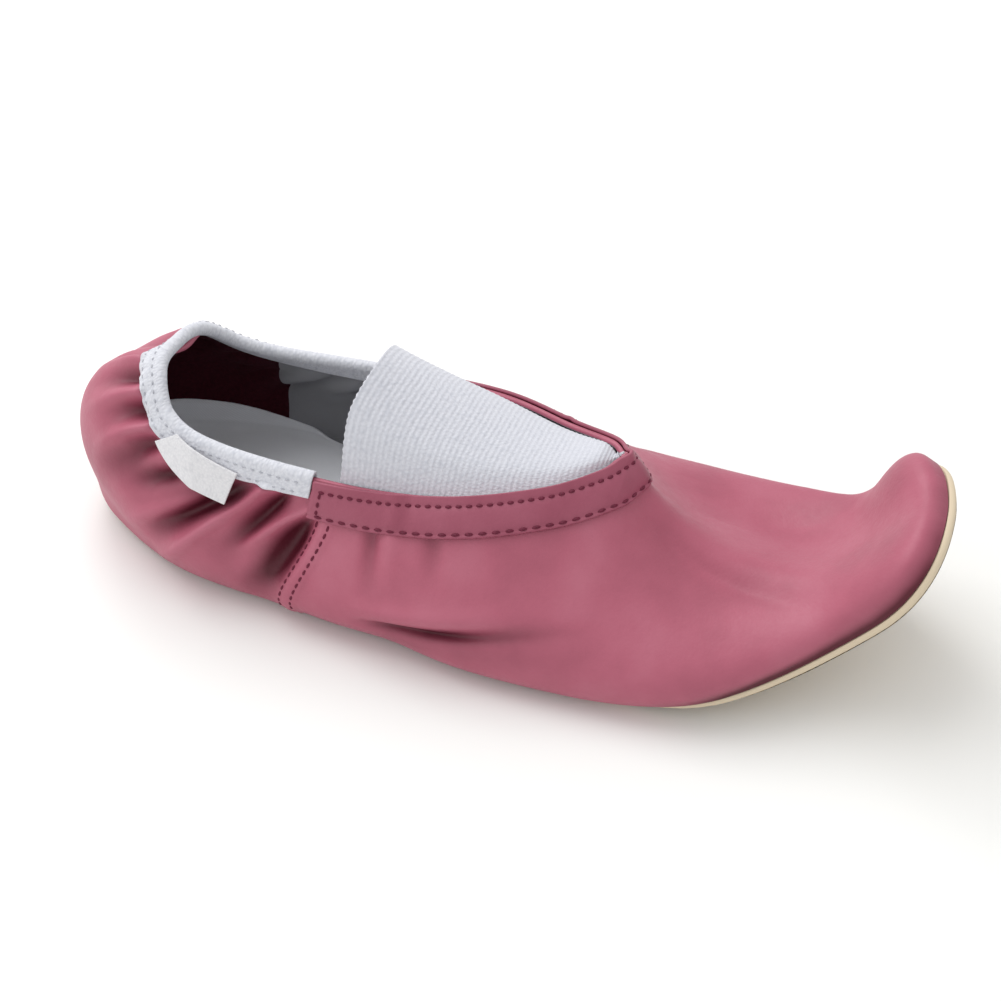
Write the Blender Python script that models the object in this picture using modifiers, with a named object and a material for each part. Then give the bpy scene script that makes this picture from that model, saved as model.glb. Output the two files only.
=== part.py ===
"""A right gymnastics slipper: soft leather upper on a thin rubber sole, with elastic collar and gore.

The last is described unrolled, in millimetres: s runs along the sole from heel to toe, y across it
(plus is the inner side of the foot) and h up from the floor. The function roll_up then curls
heel and toe off the floor. Toe points to +X, the outer side of the foot to -Y, up is +Z.
"""

import math

import bmesh
import bpy
from mathutils import Vector

MM = 0.001

# Driving sizes of the sole, in millimetres
SOLE_THICKNESS = 2.0
HEEL_FLAT_FROM = 36.0
HEEL_CURL_RADIUS = 145.0
BALL_FLAT_TO = 142.0
BALL_CURL_RADIUS = 98.0
TIP_CURL_FROM = 191.0
TIP_CURL_RADIUS = 52.0
CURL_SLANT = 0.10
CURL_SLANT_RUN = 40.0

# Thicknesses, widths and clearances, in millimetres
WALL = 1.3
GAP = 0.3
FEATHER_H = SOLE_THICKNESS + GAP
INSOLE_THICKNESS = 1.6
INSOLE_INSET = 2.4
FACING_THICKNESS = 0.9
FACING_WIDTH = 9.5
TAPE_THICKNESS = 0.7
BINDING_OUTSIDE = 6.5
BINDING_INSIDE = 5.0

# Place of the last's origin in the finished part, in millimetres
CENTRE_S = 108.52
CENTRE_Y = -1.19

# The last, a row for each section round the foot, outer side first.
# foot: the feather line on the sole; bulge: how far the leather rolls out past it, and how high;
# side: a point part of the way in to the top line, and its height; top: the collar and throat edge;
# welt: how far the sole's edge stands out past the feather line.
LAST_COLUMNS = ("section", "foot_s", "foot_y", "bulge", "bulge_h", "side", "side_h",
                "top_s", "top_y", "top_h", "welt")
LAST = (
    ("heel_back",        4.0,   0.0, 6.0, 20.0, 0.20, 41.0,  27.0,   0.0, 48.0, 0.2),
    ("heel_corner_out", 13.0, -20.0, 4.2, 18.0, 0.28, 40.0,  29.5, -11.5, 47.5, 0.2),
    ("heel_out",        38.0, -28.0, 5.0, 11.0, 0.42, 32.0,  43.0, -21.8, 39.0, 0.2),
    ("seam_out",        75.0, -31.0, 6.0,  8.5, 0.50, 28.0,  77.0, -24.5, 36.5, 0.2),
    ("waist_out",      108.0, -37.0, 6.0,  8.0, 0.40, 27.0, 105.0, -21.5, 37.0, 0.2),
    ("ball_out",       145.0, -40.0, 3.0,  7.0, 0.46, 23.0, 125.5, -13.5, 38.5, 0.5),
    ("fore_out",       182.0, -36.0, 1.5,  5.5, 0.45, 20.0, 137.0,  -6.5, 41.0, 1.2),
    ("toe_out",        216.0, -22.5, 0.6,  5.0, 0.43, 14.0, 140.5,  -2.2, 42.0, 1.4),
    ("toe_tip",        231.0,   2.0, 0.5,  5.0, 0.40, 10.5, 142.0,   0.0, 42.5, 1.4),
    ("toe_in",         220.0,  24.0, 0.6,  5.0, 0.43, 10.5, 140.5,   2.2, 41.0, 1.4),
    ("fore_in",        188.0,  33.5, 1.5,  5.5, 0.45, 13.5, 137.0,   6.5, 40.0, 1.0),
    ("ball_in",        152.0,  39.0, 2.5,  8.0, 0.46, 20.0, 125.5,  13.5, 36.5, 0.5),
    ("waist_in",       108.0,  31.5, 5.0, 10.0, 0.40, 25.0, 105.0,  21.5, 35.0, 0.2),
    ("seam_in",         75.0,  27.5, 5.0, 11.0, 0.50, 27.0,  77.0,  23.5, 34.0, 0.2),
    ("heel_in",         38.0,  26.5, 5.0, 13.0, 0.42, 31.0,  43.0,  21.0, 35.0, 0.2),
    ("heel_corner_in",  13.0,  19.0, 4.2, 18.0, 0.28, 39.0,  29.5,  11.5, 45.0, 0.2),
)
SECTIONS = len(LAST)
TOE_TIP = 8

# Raised side seams, where the elastic collar ends and the throat begins: places round the foot,
# size of the strip in millimetres, and the height on the wall where it runs under the facing
SEAM_OUT = 2.95
SEAM_IN = SECTIONS - SEAM_OUT
SEAM_END = 0.02
SEAM_RISE = 0.6
SEAM_WIDTH = 6.0
SEAM_EDGE = 1.5
SEAM_TOP_V = 0.70
SEAM_FADE_V = 0.06

# Soft folds of the leather, a row each. at: the section where the fold meets the top; drift: how
# many sections it wanders by the time it reaches the sole; width and rise in millimetres, a
# hollow where the rise is below zero; low and high: where on the wall it fades out.
FOLDS = (
    (2.55, -0.30, 9.0, -2.2, 0.20, 0.86),
    (2.20, -0.42, 8.0, -2.0, 0.28, 0.86),
    (1.85, -0.45, 9.0, -1.8, 0.30, 0.84),
    (1.30, -0.30, 9.0, -1.6, 0.34, 0.86),
    (0.80, -0.10, 9.0, -1.8, 0.40, 0.88),
    (0.20, 0.00, 9.0, -1.6, 0.42, 0.88),
    (-0.40, 0.05, 9.0, -1.8, 0.40, 0.88),
    (-1.00, 0.20, 9.0, -1.6, 0.36, 0.86),
    (-1.60, 0.35, 9.0, -1.8, 0.30, 0.84),
    (-2.10, 0.40, 8.0, -2.0, 0.26, 0.86),
    (-2.55, 0.30, 9.0, -2.0, 0.20, 0.86),
)

# The long crease over the roll at the outer ball: sections it spans, height on the wall, depth
ROLL_FROM = 3.2
ROLL_TO = 5.4
ROLL_V = 0.30
ROLL_HALF_WIDTH = 0.10
ROLL_DEPTH = 1.8

# The elastic gore across the throat: the sections it spans, how far its sides tuck under the
# throat, and how far its rear edge arches up and forwards, all but the first two in millimetres
GORE_REAR = SEAM_OUT + 0.2
GORE_FRONT = 6.6
GORE_THICKNESS = 1.0
GORE_TUCK = 6.0
GORE_GAP = 0.6
GORE_RISE = 20.0
GORE_AHEAD = 5.0
GORE_SHOULDER = 0.72

# The folded tape below the binding on the outer heel: its place and half its width in sections,
# and in millimetres its drop and how far its top and bottom stand off the leather
TAB_MIDDLE = 2.0
TAB_HALF_WIDTH = 0.26
TAB_DROP = 7.0
TAB_TOP_OFF = 0.6
TAB_LOW_OFF = 2.2

# Mesh steps: columns for each section of the last, levels up the wall, and strips across
COLUMNS_PER_SECTION = 6
WALL_LEVELS = 16
SOLE_STRIPS = 6
FACING_STRIPS = 3
BINDING_STRIPS = 2
BINDING_ARC_STEPS = 4
GORE_STRIPS = 14
GORE_RUNGS = 14
TAB_COLUMNS = 8
TAB_STRIPS = 3

COLLECTION = bpy.data.collections.new("gymnastics_shoe")


def last_value(column, u):
    """A column of the last at place u round the foot, on a smooth closed curve through its rows."""
    k = LAST_COLUMNS.index(column)
    i = math.floor(u)
    t = u - i
    before, here, after, beyond = (LAST[(i + j) % SECTIONS][k] for j in (-1, 0, 1, 2))
    return here + 0.5 * t * (after - before
                             + t * (2 * before - 5 * here + 4 * after - beyond
                                    + t * (3 * (here - after) + beyond - before)))


def smooth(x):
    """A soft step from 0 to 1."""
    x = min(max(x, 0.0), 1.0)
    return x * x * (3 - 2 * x)


def bell(x):
    """A soft hump, 1 in the middle and 0 from -1 and 1 outwards."""
    return smooth(1 - abs(x))


def spread(start, end, steps):
    """Evenly spaced values from start to end, both included."""
    return [start + (end - start) * i / steps for i in range(steps + 1)]


def roll_up(s, y, h):
    """Curl an unrolled point of the shoe with its sole, and put it in the part's own place."""
    s += CURL_SLANT * y * min(max((s - BALL_FLAT_TO) / CURL_SLANT_RUN, 0), 1)
    heel = max(HEEL_FLAT_FROM - s, 0) / HEEL_CURL_RADIUS
    ball = min(max(s - BALL_FLAT_TO, 0), TIP_CURL_FROM - BALL_FLAT_TO) / BALL_CURL_RADIUS
    tip = max(s - TIP_CURL_FROM, 0) / TIP_CURL_RADIUS
    turn = ball + tip - heel
    x = min(max(s, HEEL_FLAT_FROM), BALL_FLAT_TO)
    x += BALL_CURL_RADIUS * math.sin(ball) - HEEL_CURL_RADIUS * math.sin(heel)
    x += TIP_CURL_RADIUS * (math.sin(ball + tip) - math.sin(ball))
    z = BALL_CURL_RADIUS * (1 - math.cos(ball)) + HEEL_CURL_RADIUS * (1 - math.cos(heel))
    z += TIP_CURL_RADIUS * (math.cos(ball) - math.cos(ball + tip))
    return Vector((x - h * math.sin(turn) - CENTRE_S, y - CENTRE_Y, z + h * math.cos(turn)))


def feather_line(u, margin):
    """A point of the line where the upper meets the sole, moved outwards by a margin, unrolled."""
    step = 0.01
    along_s = last_value("foot_s", u + step) - last_value("foot_s", u - step)
    along_y = last_value("foot_y", u + step) - last_value("foot_y", u - step)
    outward = Vector((along_y, -along_s)).normalized()
    return Vector((last_value("foot_s", u), last_value("foot_y", u))) + outward * margin


def curve_through(points, t):
    """A point on the natural cubic curve through four points, t from 0 to 1 by their spacing."""
    chords = [(b - a).length ** 0.8 for a, b in zip(points, points[1:])]
    whole = sum(chords)
    a, b, c = (chord / whole for chord in chords)
    rise = [(q - p) / w for p, q, w in zip(points, points[1:], (a, b, c))]
    first, last = 6 * (rise[1] - rise[0]), 6 * (rise[2] - rise[1])
    left, right = 2 * (a + b), 2 * (b + c)
    span = left * right - b * b
    zero = Vector((0, 0, 0))
    bends = (zero, (first * right - last * b) / span, (last * left - first * b) / span, zero)
    knots = (0, a, a + b, 1)
    i = 0 if t <= knots[1] else 1 if t <= knots[2] else 2
    w = knots[i + 1] - knots[i]
    p, q = (knots[i + 1] - t) / w, (t - knots[i]) / w
    return (points[i] * p + points[i + 1] * q
            + ((p ** 3 - p) * bends[i] + (q ** 3 - q) * bends[i + 1]) * w * w / 6)


def open_curve(points, t):
    """A point on a smooth open curve through any number of points, t from 0 to 1 by their spacing."""
    lengths = [0.0]
    for a, b in zip(points, points[1:]):
        lengths.append(lengths[-1] + (b - a).length)
    reach = t * lengths[-1]
    i = max(k for k in range(len(points) - 1) if lengths[k] <= reach)
    w = lengths[i + 1] - lengths[i]
    k = (reach - lengths[i]) / w

    def slope(j):
        a, b = max(j - 1, 0), min(j + 1, len(points) - 1)
        return (points[b] - points[a]) / (lengths[b] - lengths[a])

    return (points[i] * (1 + 2 * k) * (1 - k) ** 2 + points[i + 1] * k * k * (3 - 2 * k)
            + (slope(i) * k * (1 - k) ** 2 - slope(i + 1) * k * k * (1 - k)) * w)


def smooth_wall(u, v):
    """The outside of the upper without its folds: u round the foot, v from sole to top edge."""
    foot = Vector((*feather_line(u, 0), FEATHER_H))
    bulge = Vector((*feather_line(u, last_value("bulge", u)), last_value("bulge_h", u)))
    top = Vector((last_value("top_s", u), last_value("top_y", u), last_value("top_h", u)))
    side = foot.lerp(top, last_value("side", u))
    side.z = last_value("side_h", u)
    return roll_up(*curve_through((foot, bulge, side, top), v))


def wall_normal(u, v):
    """The outward direction of the smooth wall at u, v."""
    du, dv = 0.02, 0.01
    along = smooth_wall(u + du, v) - smooth_wall(u - du, v)
    up = smooth_wall(u, min(v + dv, 1)) - smooth_wall(u, max(v - dv, 0))
    return along.cross(up).normalized()


def section_length(u):
    """How many millimetres one section of the last spans round the foot at u."""
    step = 0.05
    return (smooth_wall(u + step, 0.5) - smooth_wall(u - step, 0.5)).length / (2 * step)


def fold_height(u, v):
    """How far the folds and the raised seams lift the leather at u, v."""
    u = (u + SECTIONS / 2) % SECTIONS - SECTIONS / 2
    span = section_length(u)
    lift = 0.0
    for at, drift, width, rise, low, high in FOLDS:
        aside = (u - at - drift * (1 - v)) * span / width
        lift += rise * bell(aside) * bell(2 * (v - low) / (high - low) - 1)
    along_roll = 2 * (u - ROLL_FROM) / (ROLL_TO - ROLL_FROM) - 1
    lift -= ROLL_DEPTH * bell(along_roll) * bell((v - ROLL_V) / ROLL_HALF_WIDTH)
    for seam in (SEAM_OUT, SEAM_IN - SECTIONS):
        inside = (SEAM_WIDTH + SEAM_EDGE) / 2 - abs(u - seam) * span
        lift += SEAM_RISE * smooth(inside / SEAM_EDGE) * smooth((SEAM_TOP_V - v) / SEAM_FADE_V)
    return lift


def wall(u, v):
    """The outside of the upper, folds and all."""
    return smooth_wall(u, v) + wall_normal(u, v) * fold_height(u, v)


def down_from_top(u, distance):
    """The height v on the wall that lies a distance in millimetres below the top edge."""
    step = 0.0125
    v, length = 1.0, 0.0
    while length < distance:
        v -= step
        piece = (smooth_wall(u, v) - smooth_wall(u, v + step)).length
        length += piece
    return v + (length - distance) / piece * step if distance > 0 else 1.0


def beside_wall(u, distance, offset):
    """A point off the upper, offset outwards, a distance below its top edge."""
    v = down_from_top(u, distance)
    return smooth_wall(u, v) + wall_normal(u, v) * offset


def material(name, colour, roughness):
    """A plain finish in the part's own colour."""
    finish = bpy.data.materials.new(name)
    finish.use_nodes = True
    shader = finish.node_tree.nodes["Principled BSDF"]
    shader.inputs["Base Color"].default_value = (*colour, 1)
    shader.inputs["Roughness"].default_value = roughness
    shader.inputs["Metallic"].default_value = 0.0
    return finish


def sheet(name, columns, levels, place, thickness, finish, grow=1):
    """A flat grid laid on place(column, level), closed where its edges meet, and given a thickness.

    columns and levels list where the grid lines run. The thickness grows along the faces' normals
    with grow 1 and against them with grow -1.
    """
    grid = bmesh.new()
    bmesh.ops.create_grid(grid, x_segments=len(columns) - 1, y_segments=len(levels) - 1, size=1)
    for vert in grid.verts:
        i = round((vert.co.x + 1) / 2 * (len(columns) - 1))
        j = round((vert.co.y + 1) / 2 * (len(levels) - 1))
        vert.co = place(columns[i], levels[j]) * MM
    bmesh.ops.remove_doubles(grid, verts=grid.verts, dist=0.00001)
    mesh = bpy.data.meshes.new(name)
    grid.to_mesh(mesh)
    grid.free()
    mesh.shade_smooth()
    piece = bpy.data.objects.new(name, mesh)
    COLLECTION.objects.link(piece)
    piece.data.materials.append(finish)
    skin = piece.modifiers.new("thickness", "SOLIDIFY")
    skin.thickness = thickness * MM
    skin.offset = grow
    skin.use_even_offset = False


def columns_between(start, end):
    """The upper's own grid columns from start to end, so that facets of neighbours stay level."""
    first, last = math.ceil(start * COLUMNS_PER_SECTION), math.floor(end * COLUMNS_PER_SECTION)
    inner = [k / COLUMNS_PER_SECTION for k in range(first, last + 1)]
    return sorted({start, *inner, end})


def build_upper(finish):
    """One leather wall round the foot, open at the top and underneath."""
    columns = columns_between(0, SECTIONS)
    sheet("upper", columns, spread(0, 1, WALL_LEVELS), wall, WALL, finish, grow=-1)


def sole_plate(name, margin, h, thickness, finish):
    """A plate in the outline of the sole, with a margin of its own, that curls up with it."""

    def place(u, across):
        sides = [feather_line(side, margin(side)) for side in (u, SECTIONS - u)]
        return roll_up(*sides[0].lerp(sides[1], across), h)

    rungs = columns_between(0, TOE_TIP)
    sheet(name, rungs, spread(0, 1, SOLE_STRIPS), place, thickness, finish)


def build_outsole(finish):
    """A thin rubber plate under the upper, proud of it at the toe."""
    sole_plate("outsole", lambda u: last_value("welt", u), 0, SOLE_THICKNESS, finish)


def build_insole(finish):
    """A soft sock inside the wall, on the sole."""
    sole_plate("insole", lambda u: -INSOLE_INSET, FEATHER_H, INSOLE_THICKNESS, finish)


def build_throat_facing(finish):
    """A leather strip round the throat, on the outside of the wall."""

    def place(u, distance):
        return beside_wall(u, distance, GAP)

    columns = columns_between(SEAM_OUT + SEAM_END, SEAM_IN - SEAM_END)
    levels = spread(FACING_WIDTH, 0, FACING_STRIPS)
    sheet("throat_facing", columns, levels, place, FACING_THICKNESS, finish)


def build_collar_binding(finish):
    """Elastic tape folded over the collar edge, from seam to seam round the heel."""
    outside = [("outside", d) for d in spread(BINDING_OUTSIDE, 0, BINDING_STRIPS)]
    over = [("over", a) for a in spread(0, math.pi, BINDING_ARC_STEPS)[1:-1]]
    inside = [("inside", d) for d in spread(0, BINDING_INSIDE, BINDING_STRIPS)]

    def place(u, step):
        kind, amount = step
        if kind == "outside":
            return beside_wall(u, amount, GAP)
        if kind == "inside":
            return beside_wall(u, amount, -WALL - GAP)
        edge = smooth_wall(u, 1)
        rise = (edge - smooth_wall(u, 0.98)).normalized()
        away = wall_normal(u, 1)
        reach = WALL / 2 + GAP
        return edge - away * WALL / 2 + (away * math.cos(amount) + rise * math.sin(amount)) * reach

    columns = columns_between(SEAM_IN - SECTIONS + SEAM_END, SEAM_OUT - SEAM_END)
    sheet("collar_binding", columns, outside + over + inside, place, TAPE_THICKNESS, finish)


def build_instep_elastic(finish):
    """The elastic gore across the throat, tucked under its edges, with an arched free rear edge."""

    def place(u, across):
        slack = (GORE_FRONT - u) / (GORE_FRONT - GORE_REAR)
        lift = Vector((GORE_AHEAD, 0, GORE_RISE)) * slack
        sides = (u, SECTIONS - u)
        ends = [beside_wall(side, GORE_TUCK, -WALL - GORE_GAP) for side in sides]
        edges = [beside_wall(side, 0, -WALL - GORE_GAP) for side in sides]
        middle = (edges[0] + edges[1]) / 2
        shoulders = [edge.lerp(middle, 0.5) + lift * GORE_SHOULDER for edge in edges]
        route = (ends[0], edges[0], shoulders[0], middle + lift, shoulders[1], edges[1], ends[1])
        return open_curve(route, across)

    rungs = spread(GORE_REAR, GORE_FRONT, GORE_RUNGS)
    levels = spread(0, 1, GORE_STRIPS)
    sheet("instep_elastic", rungs, levels, place, GORE_THICKNESS, finish, grow=-1)


def build_side_tab(finish):
    """A small folded tape that shows below the binding, on the outer side of the heel."""
    top = BINDING_OUTSIDE + GAP
    low = BINDING_OUTSIDE + TAB_DROP

    def place(u, distance):
        drop = (distance - top) / (low - top)
        return beside_wall(u, distance, TAB_TOP_OFF + (TAB_LOW_OFF - TAB_TOP_OFF) * drop)

    columns = spread(TAB_MIDDLE - TAB_HALF_WIDTH, TAB_MIDDLE + TAB_HALF_WIDTH, TAB_COLUMNS)
    sheet("side_tab", columns, spread(low, top, TAB_STRIPS), place, TAPE_THICKNESS, finish)


def main():
    for old in list(bpy.data.objects):
        bpy.data.objects.remove(old, do_unlink=True)
    bpy.context.scene.collection.children.link(COLLECTION)
    build_outsole(material("dimpled_rubber", (0.56, 0.40, 0.19), 0.7))
    build_insole(material("textile_sock", (0.62, 0.63, 0.68), 0.9))
    build_upper(material("soft_leather", (0.40, 0.108, 0.16), 0.48))
    build_throat_facing(material("facing_leather", (0.36, 0.085, 0.135), 0.5))
    build_instep_elastic(material("woven_elastic", (0.77, 0.78, 0.83), 0.85))
    build_collar_binding(material("elastic_tape", (0.74, 0.75, 0.80), 0.85))
    build_side_tab(material("bare_tape", (0.74, 0.74, 0.77), 0.8))


main()
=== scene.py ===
# %% [markdown]
# A gymnastics slipper is a soft leather upper, sewn to a thin rubber sole, with white elastic at
# the collar and across the instep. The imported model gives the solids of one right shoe. This lesson
# dresses each of them: gathers and creases in the leather, stitches, ribs in the elastic, dimples
# in the rubber, and a finish for every material.

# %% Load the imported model
import math

import bpy
import numpy as np
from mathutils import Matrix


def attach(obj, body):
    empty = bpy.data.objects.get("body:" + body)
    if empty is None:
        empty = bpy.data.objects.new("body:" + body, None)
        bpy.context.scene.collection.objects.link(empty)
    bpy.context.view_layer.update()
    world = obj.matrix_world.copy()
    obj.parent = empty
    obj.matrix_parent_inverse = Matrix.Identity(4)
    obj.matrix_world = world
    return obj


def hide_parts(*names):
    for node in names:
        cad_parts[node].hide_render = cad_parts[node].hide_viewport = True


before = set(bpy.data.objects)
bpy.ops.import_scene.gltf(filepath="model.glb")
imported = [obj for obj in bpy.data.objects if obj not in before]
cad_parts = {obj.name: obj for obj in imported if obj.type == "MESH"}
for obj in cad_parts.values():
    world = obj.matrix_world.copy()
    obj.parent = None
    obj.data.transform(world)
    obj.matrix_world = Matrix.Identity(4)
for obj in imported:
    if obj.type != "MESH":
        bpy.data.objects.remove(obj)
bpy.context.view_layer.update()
MM = 0.001

# %% [markdown]
# The camera comes first, so that every later step can be judged in the frame of the photograph. The
# shoe is seen from its outer side, from a little in front of it and well above. The camera looks
# straight at a point above the waist of the shoe, so it needs no shift.

# %% Camera
# the part's origin in the last's own coordinates
CENTRE = np.array([108.52, -1.19, 0.0])
AIM = np.array([112.0, 0.0, 20.0])
AZIMUTH, ELEVATION = math.radians(18.5), math.radians(41.0)
DISTANCE = 358.0
LENS, SENSOR = 54.0, 36.0

backwards = np.array([math.sin(AZIMUTH) * math.cos(ELEVATION),
                      -math.cos(AZIMUTH) * math.cos(ELEVATION), math.sin(ELEVATION)])
bpy.ops.object.camera_add(location=(AIM - CENTRE + backwards * DISTANCE) * MM,
                          rotation=(math.pi / 2 - ELEVATION, 0, AZIMUTH))
camera = bpy.context.object
camera.name = "photo_camera"
camera.data.lens = LENS
camera.data.sensor_width = SENSOR
camera.data.clip_start = 0.01
bpy.context.scene.camera = camera
print("camera at", [round(x, 3) for x in camera.location])

# %% [markdown]
# A shoemaker draws everything from the last, the form that the shoe is pulled over. The table below
# is that last, unrolled flat, with a row for each section round the foot, outer side first: the
# feather line where leather meets sole, how far the leather bulges past it, a point up the side,
# and the top edge. The solids were made from the same numbers, so the dressed pieces sit where the
# solids are.

# %% The last
LAST_COLUMNS = ("foot_s", "foot_y", "bulge", "bulge_h", "side", "side_h", "top_s", "top_y", "top_h")
LAST = {
    "heel_back":       (4.0,   0.0, 6.0, 20.0, 0.20, 41.0,  27.0,   0.0, 48.0),
    "heel_corner_out": (13.0, -20.0, 4.2, 18.0, 0.28, 40.0,  29.5, -11.5, 47.5),
    "heel_out":        (38.0, -28.0, 5.0, 11.0, 0.42, 32.0,  43.0, -21.8, 39.0),
    "seam_out":        (75.0, -31.0, 6.0,  8.5, 0.50, 28.0,  77.0, -24.5, 36.5),
    "waist_out":      (108.0, -37.0, 6.0,  8.0, 0.40, 27.0, 105.0, -21.5, 37.0),
    "ball_out":       (145.0, -40.0, 3.0,  7.0, 0.46, 23.0, 125.5, -13.5, 38.5),
    "fore_out":       (182.0, -36.0, 1.5,  5.5, 0.45, 20.0, 137.0,  -6.5, 41.0),
    "toe_out":        (216.0, -22.5, 0.6,  5.0, 0.43, 14.0, 140.5,  -2.2, 42.0),
    "toe_tip":        (231.0,   2.0, 0.5,  5.0, 0.40, 10.5, 142.0,   0.0, 42.5),
    "toe_in":         (220.0,  24.0, 0.6,  5.0, 0.43, 10.5, 140.5,   2.2, 41.0),
    "fore_in":        (188.0,  33.5, 1.5,  5.5, 0.45, 13.5, 137.0,   6.5, 40.0),
    "ball_in":        (152.0,  39.0, 2.5,  8.0, 0.46, 20.0, 125.5,  13.5, 36.5),
    "waist_in":       (108.0,  31.5, 5.0, 10.0, 0.40, 25.0, 105.0,  21.5, 35.0),
    "seam_in":         (75.0,  27.5, 5.0, 11.0, 0.50, 27.0,  77.0,  23.5, 34.0),
    "heel_in":         (38.0,  26.5, 5.0, 13.0, 0.42, 31.0,  43.0,  21.0, 35.0),
    "heel_corner_in":  (13.0,  19.0, 4.2, 18.0, 0.28, 39.0,  29.5,  11.5, 45.0),
}
SECTIONS = len(LAST)
TOE_TIP = 8
SEAM_OUT = 2.95
SEAM_IN = SECTIONS - SEAM_OUT
last_table = np.array(list(LAST.values()))


def last_value(column, u):
    """A column of the last at place u round the foot, on a smooth closed curve through its rows."""
    u = np.asarray(u, float)
    i = np.floor(u).astype(int)
    t = u - i
    values = last_table[:, LAST_COLUMNS.index(column)]
    before, here, after, beyond = (values[(i + j) % SECTIONS] for j in (-1, 0, 1, 2))
    return here + 0.5 * t * (after - before
                             + t * (2 * before - 5 * here + 4 * after - beyond
                                    + t * (3 * (here - after) + beyond - before)))


print(SECTIONS, "sections round the last, sole", last_value("foot_s", TOE_TIP), "mm long unrolled")

# %% [markdown]
# The flat last is then rolled up: heel and toe curl off the floor along arcs, and everything above
# the sole turns with it. The empty toe leans back and up a little more at its inner corner. These
# helpers take whole arrays of places at once, so that a fine mesh is laid in a moment.

# %% Roll up heel and toe
SOLE_THICKNESS = 2.0
FEATHER_H = 2.3
HEEL_FLAT_FROM, HEEL_CURL_RADIUS = 36.0, 145.0
BALL_FLAT_TO, BALL_CURL_RADIUS = 142.0, 98.0
TIP_CURL_FROM, TIP_CURL_RADIUS = 191.0, 52.0
CURL_SLANT, CURL_SLANT_RUN = 0.10, 40.0
# the lean of the toe's inner corner: where it starts, over what length and width, how far
CORNER_FROM, CORNER_RUN, CORNER_WIDTH = 198.0, 28.0, 25.0
CORNER_BACK, CORNER_UP = 2.0, 4.7


def stack(*columns):
    """Numbers side by side as points, each spread to the others' shape."""
    return np.stack(np.broadcast_arrays(*columns), -1)


def soft_step(x):
    """A soft step from 0 to 1."""
    x = np.clip(x, 0, 1)
    return x * x * (3 - 2 * x)


def roll_up(s, y, h):
    """Curl unrolled places of the shoe with the sole, and put them in the part's own frame, in mm."""
    s = s + CURL_SLANT * y * np.clip((s - BALL_FLAT_TO) / CURL_SLANT_RUN, 0, 1)
    heel = np.maximum(HEEL_FLAT_FROM - s, 0) / HEEL_CURL_RADIUS
    ball = np.clip(s - BALL_FLAT_TO, 0, TIP_CURL_FROM - BALL_FLAT_TO) / BALL_CURL_RADIUS
    tip = np.maximum(s - TIP_CURL_FROM, 0) / TIP_CURL_RADIUS
    turn = ball + tip - heel
    x = np.clip(s, HEEL_FLAT_FROM, BALL_FLAT_TO)
    x = x + BALL_CURL_RADIUS * np.sin(ball) - HEEL_CURL_RADIUS * np.sin(heel)
    x = x + TIP_CURL_RADIUS * (np.sin(ball + tip) - np.sin(ball))
    z = BALL_CURL_RADIUS * (1 - np.cos(ball)) + HEEL_CURL_RADIUS * (1 - np.cos(heel))
    z = z + TIP_CURL_RADIUS * (np.cos(ball) - np.cos(ball + tip))
    lean = soft_step((s - CORNER_FROM) / CORNER_RUN) * soft_step(y / CORNER_WIDTH)
    x = x - h * np.sin(turn) - CORNER_BACK * lean
    z = z + h * np.cos(turn) + CORNER_UP * lean
    return stack(x, y, z) - CENTRE


def feather_line(u, margin):
    """Where the upper meets the sole, moved outwards by a margin: s and y, unrolled."""
    step = 0.01
    along_s = last_value("foot_s", u + step) - last_value("foot_s", u - step)
    along_y = last_value("foot_y", u + step) - last_value("foot_y", u - step)
    length = np.hypot(along_s, along_y)
    return (last_value("foot_s", u) + along_y / length * margin,
            last_value("foot_y", u) - along_s / length * margin)


toe_tip = roll_up(last_value("foot_s", TOE_TIP), last_value("foot_y", TOE_TIP), 0.0)
print("toe tip at", toe_tip.round(1), "mm")

# %% [markdown]
# Between the sole and the top edge, each section of the upper is a smooth curve through four points.
# The wall can then be asked for a point at any place u round the foot and v up the side, for the
# direction that it faces, and for a point a given distance below its top edge.

# %% The smooth wall of the upper


def curve_through(points, t):
    """A point on the natural cubic curve through four points, t from 0 to 1 by their spacing."""
    chords = [np.linalg.norm(b - a, axis=-1, keepdims=True) ** 0.8 for a, b in zip(points, points[1:])]
    whole = sum(chords)
    a, b, c = (chord / whole for chord in chords)
    rise = [(q - p) / w for p, q, w in zip(points, points[1:], (a, b, c))]
    first, last = 6 * (rise[1] - rise[0]), 6 * (rise[2] - rise[1])
    left, right = 2 * (a + b), 2 * (b + c)
    span = left * right - b * b
    zero = np.zeros_like(first)
    bends = (zero, (first * right - last * b) / span, (last * left - first * b) / span, zero)
    knots = (0 * a, a, a + b, 0 * a + 1)
    t = t[..., None]
    pieces = []
    for i in range(3):
        w = knots[i + 1] - knots[i]
        p, q = (knots[i + 1] - t) / w, (t - knots[i]) / w
        pieces.append(points[i] * p + points[i + 1] * q
                      + ((p ** 3 - p) * bends[i] + (q ** 3 - q) * bends[i + 1]) * w * w / 6)
    return np.where(t <= knots[1], pieces[0], np.where(t <= knots[2], pieces[1], pieces[2]))


def smooth_wall(u, v):
    """The outside of the upper without its folds, in mm: u round the foot, v from sole to top edge."""
    u, v = np.broadcast_arrays(np.asarray(u, float), np.asarray(v, float))
    foot = stack(*feather_line(u, 0.0), FEATHER_H)
    bulge = stack(*feather_line(u, last_value("bulge", u)), last_value("bulge_h", u))
    top = stack(last_value("top_s", u), last_value("top_y", u), last_value("top_h", u))
    part_way = last_value("side", u)[..., None]
    side = foot * (1 - part_way) + top * part_way
    side[..., 2] = last_value("side_h", u)
    curve = curve_through((foot, bulge, side, top), v)
    return roll_up(curve[..., 0], curve[..., 1], curve[..., 2])


def unit(vectors):
    """Vectors brought to length 1."""
    return vectors / np.linalg.norm(vectors, axis=-1, keepdims=True)


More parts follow.
